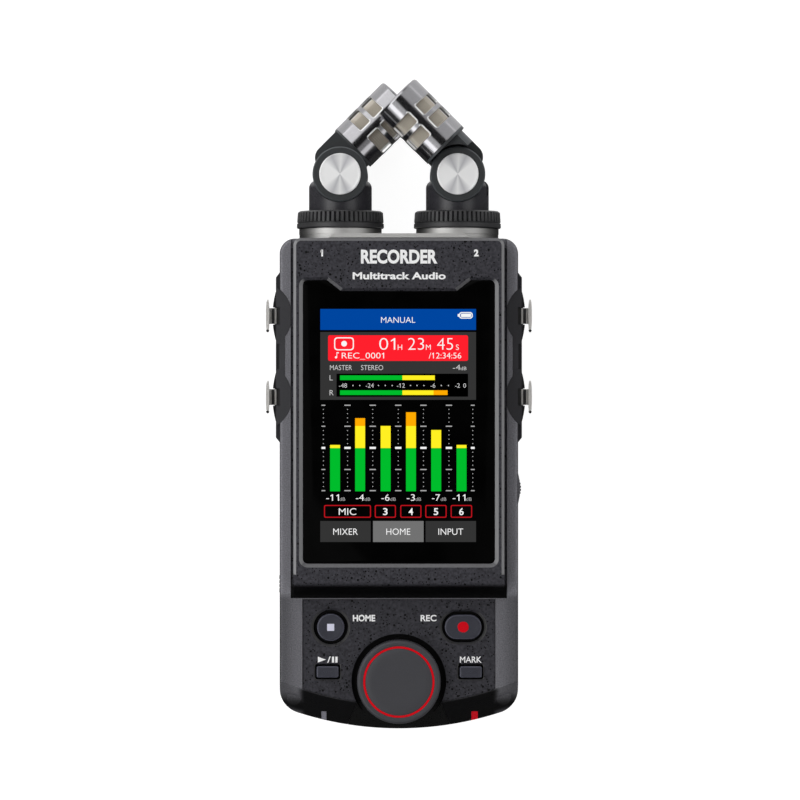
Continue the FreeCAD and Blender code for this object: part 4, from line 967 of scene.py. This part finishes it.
def release_tab(level, side):
    """Bent steel tab: a tapered finger plate on a ridged stem, with a small rivet at its lower
    end."""
    node = f"release_tab_{level}_{side}"
    body = f"jack_tab_{level}_{side}"
    low, high = box_mm(node)
    sign = SIDES[side]
    inner, outer = sorted((abs(low.x), abs(high.x)))
    y_mid = (low.y + high.y) / 2
    half = (high.y - low.y) / 2
    thick, thin = 1.15, 0.42
    plate_x = outer - thick / 2
    plate_z = (low.z + 0.45 + high.z) / 2 + 0.6
    rings = []
    for k in range(-8, 9):
        t = k / 8
        fullness = math.sqrt(max(0.0, 1 - abs(t) ** 5))
        width = thin + (thick - thin) * (1 - t * t) ** 0.6
        size = (width, max(0.6, (high.z - low.z - 0.8) * (0.35 + 0.65 * fullness)))
        ring = rounded((sign * plate_x, plate_z), size, min(size) * 0.3, 3)
        rings.append([Vector((x, y_mid + half * t, min(z, high.z))) for x, z in ring])
    shape = Shape().skin(rings)
    stem_z = low.z + 0.35
    stem_half = 2.55
    # Folded ridges across the dark stem
    for x, width in ((outer - 3.1, 0.6), (outer - 1.55, 0.5)):
        fold = ((-width / 2, 0.1), (width / 2, 0.1), (width / 2, 0.75), (0, 0.95),
                (-width / 2, 0.75))
        shape.skin([[Vector((sign * (x + dx), y_mid + y, stem_z + dz)) for dx, dz in fold]
                    for y in (-stem_half, stem_half)])
    shape.piece(f"tab_{level}_{side}", body, "tab_steel", replaces=[node])
    rivet = [(0.5, high.z - 0.9), (0.5, high.z - 0.15), (0.36, high.z)]
    place = Matrix.Translation((sign * plate_x, y_mid - half + 0.55, 0))
    dark = Shape().skin(turned(place, lathe(rivet, 20)))
    # The stem is nearly black: painted shade in the channel between the folded ridges
    section = rounded((y_mid, stem_z), (2 * stem_half, 0.68), 0.15, 2)
    dark.skin([[Vector((sign * x, y, z)) for y, z in section]
               for x in (inner, outer - thick - 0.3, plate_x)])
    dark.piece(f"tab_stem_{level}_{side}", body, "tab_steel", "component_black")


# ---------- microphones

# The right-hand microphone: its head and windows, measured from the head's far end, and the
# places of its ring's axis, its hinge and its head
MIC_RIBS = 56
HEAD_R = 8.3
HEAD_LENGTH = 21.7
WINDOW_ANGLE = 69.0
WINDOW_ROWS = ((6.5, 10.9), (12.3, 16.8))
WINDOW_COUNT = 4
WINDOW_CORNER_R = 0.6
WINDOW_TURN = {"right": 47.5, "left": 42.5}
MIC_Z = 17.35
MIC_X = 19.0
HINGE_Y = 74.0
HEAD_START = 10.0
HEAD_OFFSET = 3.75
HEAD_RISE = 26.05


def mic_turn(side):
    """Places the right-hand microphone's shapes on a side: the left one is turned over."""
    if side == "right":
        return Matrix.Identity(4)
    middle = Matrix.Translation((0, 0, MIC_Z * MM))
    return middle @ Matrix.Rotation(math.pi, 4, "Y") @ middle.inverted()


def locking_ring(side):
    """Ring nut with ribs above a smooth flared band."""
    low, high = box_mm("locking_ring_right")
    top, base = high.y, low.y
    r = (high.x - low.x) / 2
    profile = [(12.32, base), (r - 0.25, base), (r, base + 0.3), (r - 0.05, base + 1.55),
               (r - 0.35, base + 1.7), (r - 0.35, base + 1.85), (r - 0.1, base + 2.0),
               (r - 0.1, base + 2.1), (r - 0.3, top - 0.55), (r - 0.35, top - 0.45),
               (r - 0.95, top), (10.32, top), (10.32, top - 1.75), (12.32, top - 1.8)]
    wave = teeth(MIC_RIBS, 0.75, (7, 8))
    to_axis = Matrix.Translation((MIC_X, 0, MIC_Z)) @ Matrix.Rotation(math.radians(-90), 4, "X")
    rings = turned(to_axis, lathe(profile, MIC_RIBS * 8, wave))
    Shape().skin(rings, loop=True).piece(
        f"ring_nut_{side}", f"mic_ring_{side}", "knurl_black",
        replaces=[f"locking_ring_{side}"], place=mic_turn(side), sharp=25)


def hinge_cap(side):
    """Spun disc: a bevelled, very slightly domed face."""
    low, high = box_mm(f"hinge_cap_{side}")
    r = (high.x - low.x) / 2
    profile = [(r, low.z), (r, high.z - 0.32), (r - 0.12, high.z - 0.14), (r - 0.36, high.z - 0.06),
               (r - 0.55, high.z - 0.1)]
    for share in (0.8, 0.6, 0.4, 0.2, 0.02):
        profile.append((r * share, high.z - 0.1 * share))
    piece = Shape().skin(lathe(profile, 96)).piece(
        f"cap_{side}", f"mic_head_{side}", "spun_silver", replaces=[f"hinge_cap_{side}"])
    # The disc's painted fan of light turns about its own centre, so the object's origin is moved
    # there
    piece.location = (SIDES[side] * MIC_X * MM, HINGE_Y * MM, 0)


def head_place(side):
    """Matrix that takes a head built along +Z from the origin to its place, in metres."""
    s = math.sqrt(0.5)
    forward, outward = Vector((-s, s, 0)), Vector((s, s, 0))
    hinge = Vector((MIC_X, HINGE_Y, HEAD_RISE))
    start = hinge + forward * HEAD_START + outward * HEAD_OFFSET
    turn = Matrix((Vector((0, 0, 1)), outward, forward)).transposed().to_4x4()
    return mic_turn(side) @ Matrix.Translation(start * MM) @ turn


def on_head(angle, height, radius):
    return Vector((radius * math.cos(angle), radius * math.sin(angle), height))


def window_rims(side):
    """Bright raised frames round the openings in a microphone's head."""
    shape = Shape()
    half = HEAD_R * math.radians(WINDOW_ANGLE / 2)
    # Offset outwards from the opening's edge and rise above the head, round the frame's section
    section = ((-0.06, -0.7), (-0.08, 0.04), (0.02, 0.09), (0.22, 0.09), (0.34, -0.02),
               (0.3, -0.3))
    for low, high in WINDOW_ROWS:
        middle = HEAD_LENGTH - (low + high) / 2
        for i in range(WINDOW_COUNT):
            turn = math.radians(WINDOW_TURN[side]) + 2 * math.pi / WINDOW_COUNT * i
            rings = []
            for offset, rise in section:
                ring = rounded((0, 0), (2 * half + 2 * offset, high - low + 2 * offset),
                               WINDOW_CORNER_R + offset, 6)
                rings.append([on_head(turn + x / HEAD_R, middle + y, HEAD_R + rise)
                              for x, y in ring])
            shape.skin(rings, loop=True)
    shape.piece(f"window_rims_{side}", f"mic_head_{side}", "pewter", "rim_bright",
                place=head_place(side))


def wire(points, radius, closed):
    """Rings of a thin square wire that follows points round or along a head."""
    rings = []
    count = len(points)
    for i, p in enumerate(points):
        before = points[i - 1] if closed or i else p
        after = points[(i + 1) % count] if closed or i < count - 1 else p
        along = (after - before).normalized()
        out = Vector((p.x, p.y, 0)).normalized()
        across = along.cross(out).normalized()
        out = across.cross(along)
        rings.append([p + radius * (math.cos(a) * out + math.sin(a) * across)
                      for a in (0, math.pi / 2, math.pi, 3 * math.pi / 2)])
    return rings


def woven_mesh(side):
    """Woven wire inside a head: wires along it pass over and under the wires round it."""
    shape = Shape()
    radius, wire_r, sway = 6.72, 0.14, 0.1
    around, pitch = 60, 0.7
    start, end = 1.2, HEAD_LENGTH - 2.2
    rows = int((end - start) / pitch)
    for i in range(around):
        a = 2 * math.pi * i / around
        points = [on_head(a, start + k * pitch, radius + sway * (-1) ** (i + k))
                  for k in range(rows + 1)]
        shape.skin(wire(points, wire_r, False))
    for k in range(rows + 1):
        points = [on_head(2 * math.pi * i / around, start + k * pitch,
                          radius - sway * (-1) ** (i + k)) for i in range(around)]
        shape.skin(wire(points, wire_r, True), loop=True)
    shape.piece(f"woven_mesh_{side}", f"mic_head_{side}", "mesh", replaces=[f"head_mesh_{side}"],
                place=head_place(side), sharp=60)


def microphones():
    for side in SIDES:
        locking_ring(side)
        hinge_cap(side)
        window_rims(side)
        woven_mesh(side)


# ---------- studio

CAMERA_PLACE = (0.36, 1.04, 1517.35)
CAMERA_LENS = 207.7
SOFTBOXES = (
    # tilt from overhead and turn about +Z in degrees, both sizes in metres, radiance
    (52, 135, (0.95, 0.90), 1.5),
    (52, 45, (0.95, 0.90), 0.66),
    (40, 208, (0.80, 0.80), 0.8),
    (46, 208, (0.30, 0.80), 1.6),
    (40, 332, (0.80, 0.80), 0.34),
    (46, 332, (0.30, 0.80), 0.95),
)
SOFTBOX_DISTANCE = 0.8


def camera():
    data = bpy.data.cameras.new("camera")
    data.lens = CAMERA_LENS
    data.clip_end = 20
    holder = placed("camera", data)
    holder.location = Vector(CAMERA_PLACE) * MM
    bpy.context.scene.camera = holder


def softboxes():
    for index, (tilt, turn, size, radiance) in enumerate(SOFTBOXES):
        light = bpy.data.lights.new(f"softbox_{index}", "AREA")
        light.shape = "RECTANGLE"
        light.size, light.size_y = size
        light.energy = radiance * math.pi * size[0] * size[1]
        turned_round = Matrix.Rotation(math.radians(turn), 4, "Z")
        tilted = Matrix.Rotation(math.radians(tilt), 4, "Y")
        away = Matrix.Translation((0, 0, SOFTBOX_DISTANCE))
        placed(light.name, light).matrix_world = turned_round @ tilted @ away


def sky():
    """Dark surroundings with a pale band low down beyond the microphones."""
    world = bpy.data.worlds.new("studio")
    bpy.context.scene.world = world
    world.use_nodes = True
    tree = world.node_tree
    towards = components(tree, tree.nodes.new("ShaderNodeTexCoord").outputs["Generated"])
    shade = between(tree, towards["Z"], grey(0.05), grey(0.008), 0.0, 0.7)
    beyond = fade(tree, towards["Y"], 0.10, 0.40)
    low = fade(tree, towards["Z"], 0.35, 0.05)
    colour = mixed(tree, product(tree, beyond, low), shade, grey(0.85))
    tree.links.new(colour, tree.nodes["Background"].inputs["Color"])


def pale_surface(name, points, faces, low, high, glow, specular=0.5):
    """Part of the studio that shines a little of its own, so that it stays evenly pale."""
    mesh = bpy.data.meshes.new(name)
    mesh.from_pydata(points, [], faces)
    material, tree, bsdf = new_material(name)
    tint = between(tree, grain(tree, 40.0), grey(low), grey(high))
    tree.links.new(tint, bsdf.inputs["Base Color"])
    bsdf.inputs["Roughness"].default_value = 0.9
    bsdf.inputs["Specular IOR Level"].default_value = specular
    bsdf.inputs["Emission Color"].default_value = grey(1.0)
    bsdf.inputs["Emission Strength"].default_value = glow
    mesh.materials.append(material)
    surface = placed(name, mesh)
    # Polished parts reflect the dark studio in its place, which keeps their edges dark
    surface.visible_glossy = False
    return surface


def floor():
    """A large pale floor, a hair below the recorder's back."""
    half, drop = 4.0, 0.0002
    corners = [(-half, -half), (half, -half), (half, half), (-half, half)]
    pale_surface("floor", [(x, y, -drop) for x, y in corners], [(0, 1, 2, 3)], 0.30, 0.32, 0.92,
                 specular=0.1)


def backdrop():
    """A tall round wall, as pale as the floor, that only the camera sees."""
    steps, radius, foot, height = 96, 3.9, -0.01, 4.0
    points = [(x, y, z) for z in (foot, height) for x, y in circle(radius, steps)]
    faces = [(i, (i + 1) % steps, steps + (i + 1) % steps, steps + i) for i in range(steps)]
    wall = pale_surface("backdrop", points, faces, 0.010, 0.012, 1.0)
    wall.visible_diffuse = wall.visible_shadow = False


def studio():
    camera()
    softboxes()
    sky()
    floor()
    backdrop()
    bpy.context.scene.view_settings.view_transform = "Standard"


# ---------- everything

dress_frame()
cover_glass()
screen_picture()
data_wheel()
keys()
labels()
volume_wheel()
for tab_level in ("upper", "lower"):
    for tab_side in SIDES:
        release_tab(tab_level, tab_side)
microphones()
studio()

bpy.context.view_layer.update()
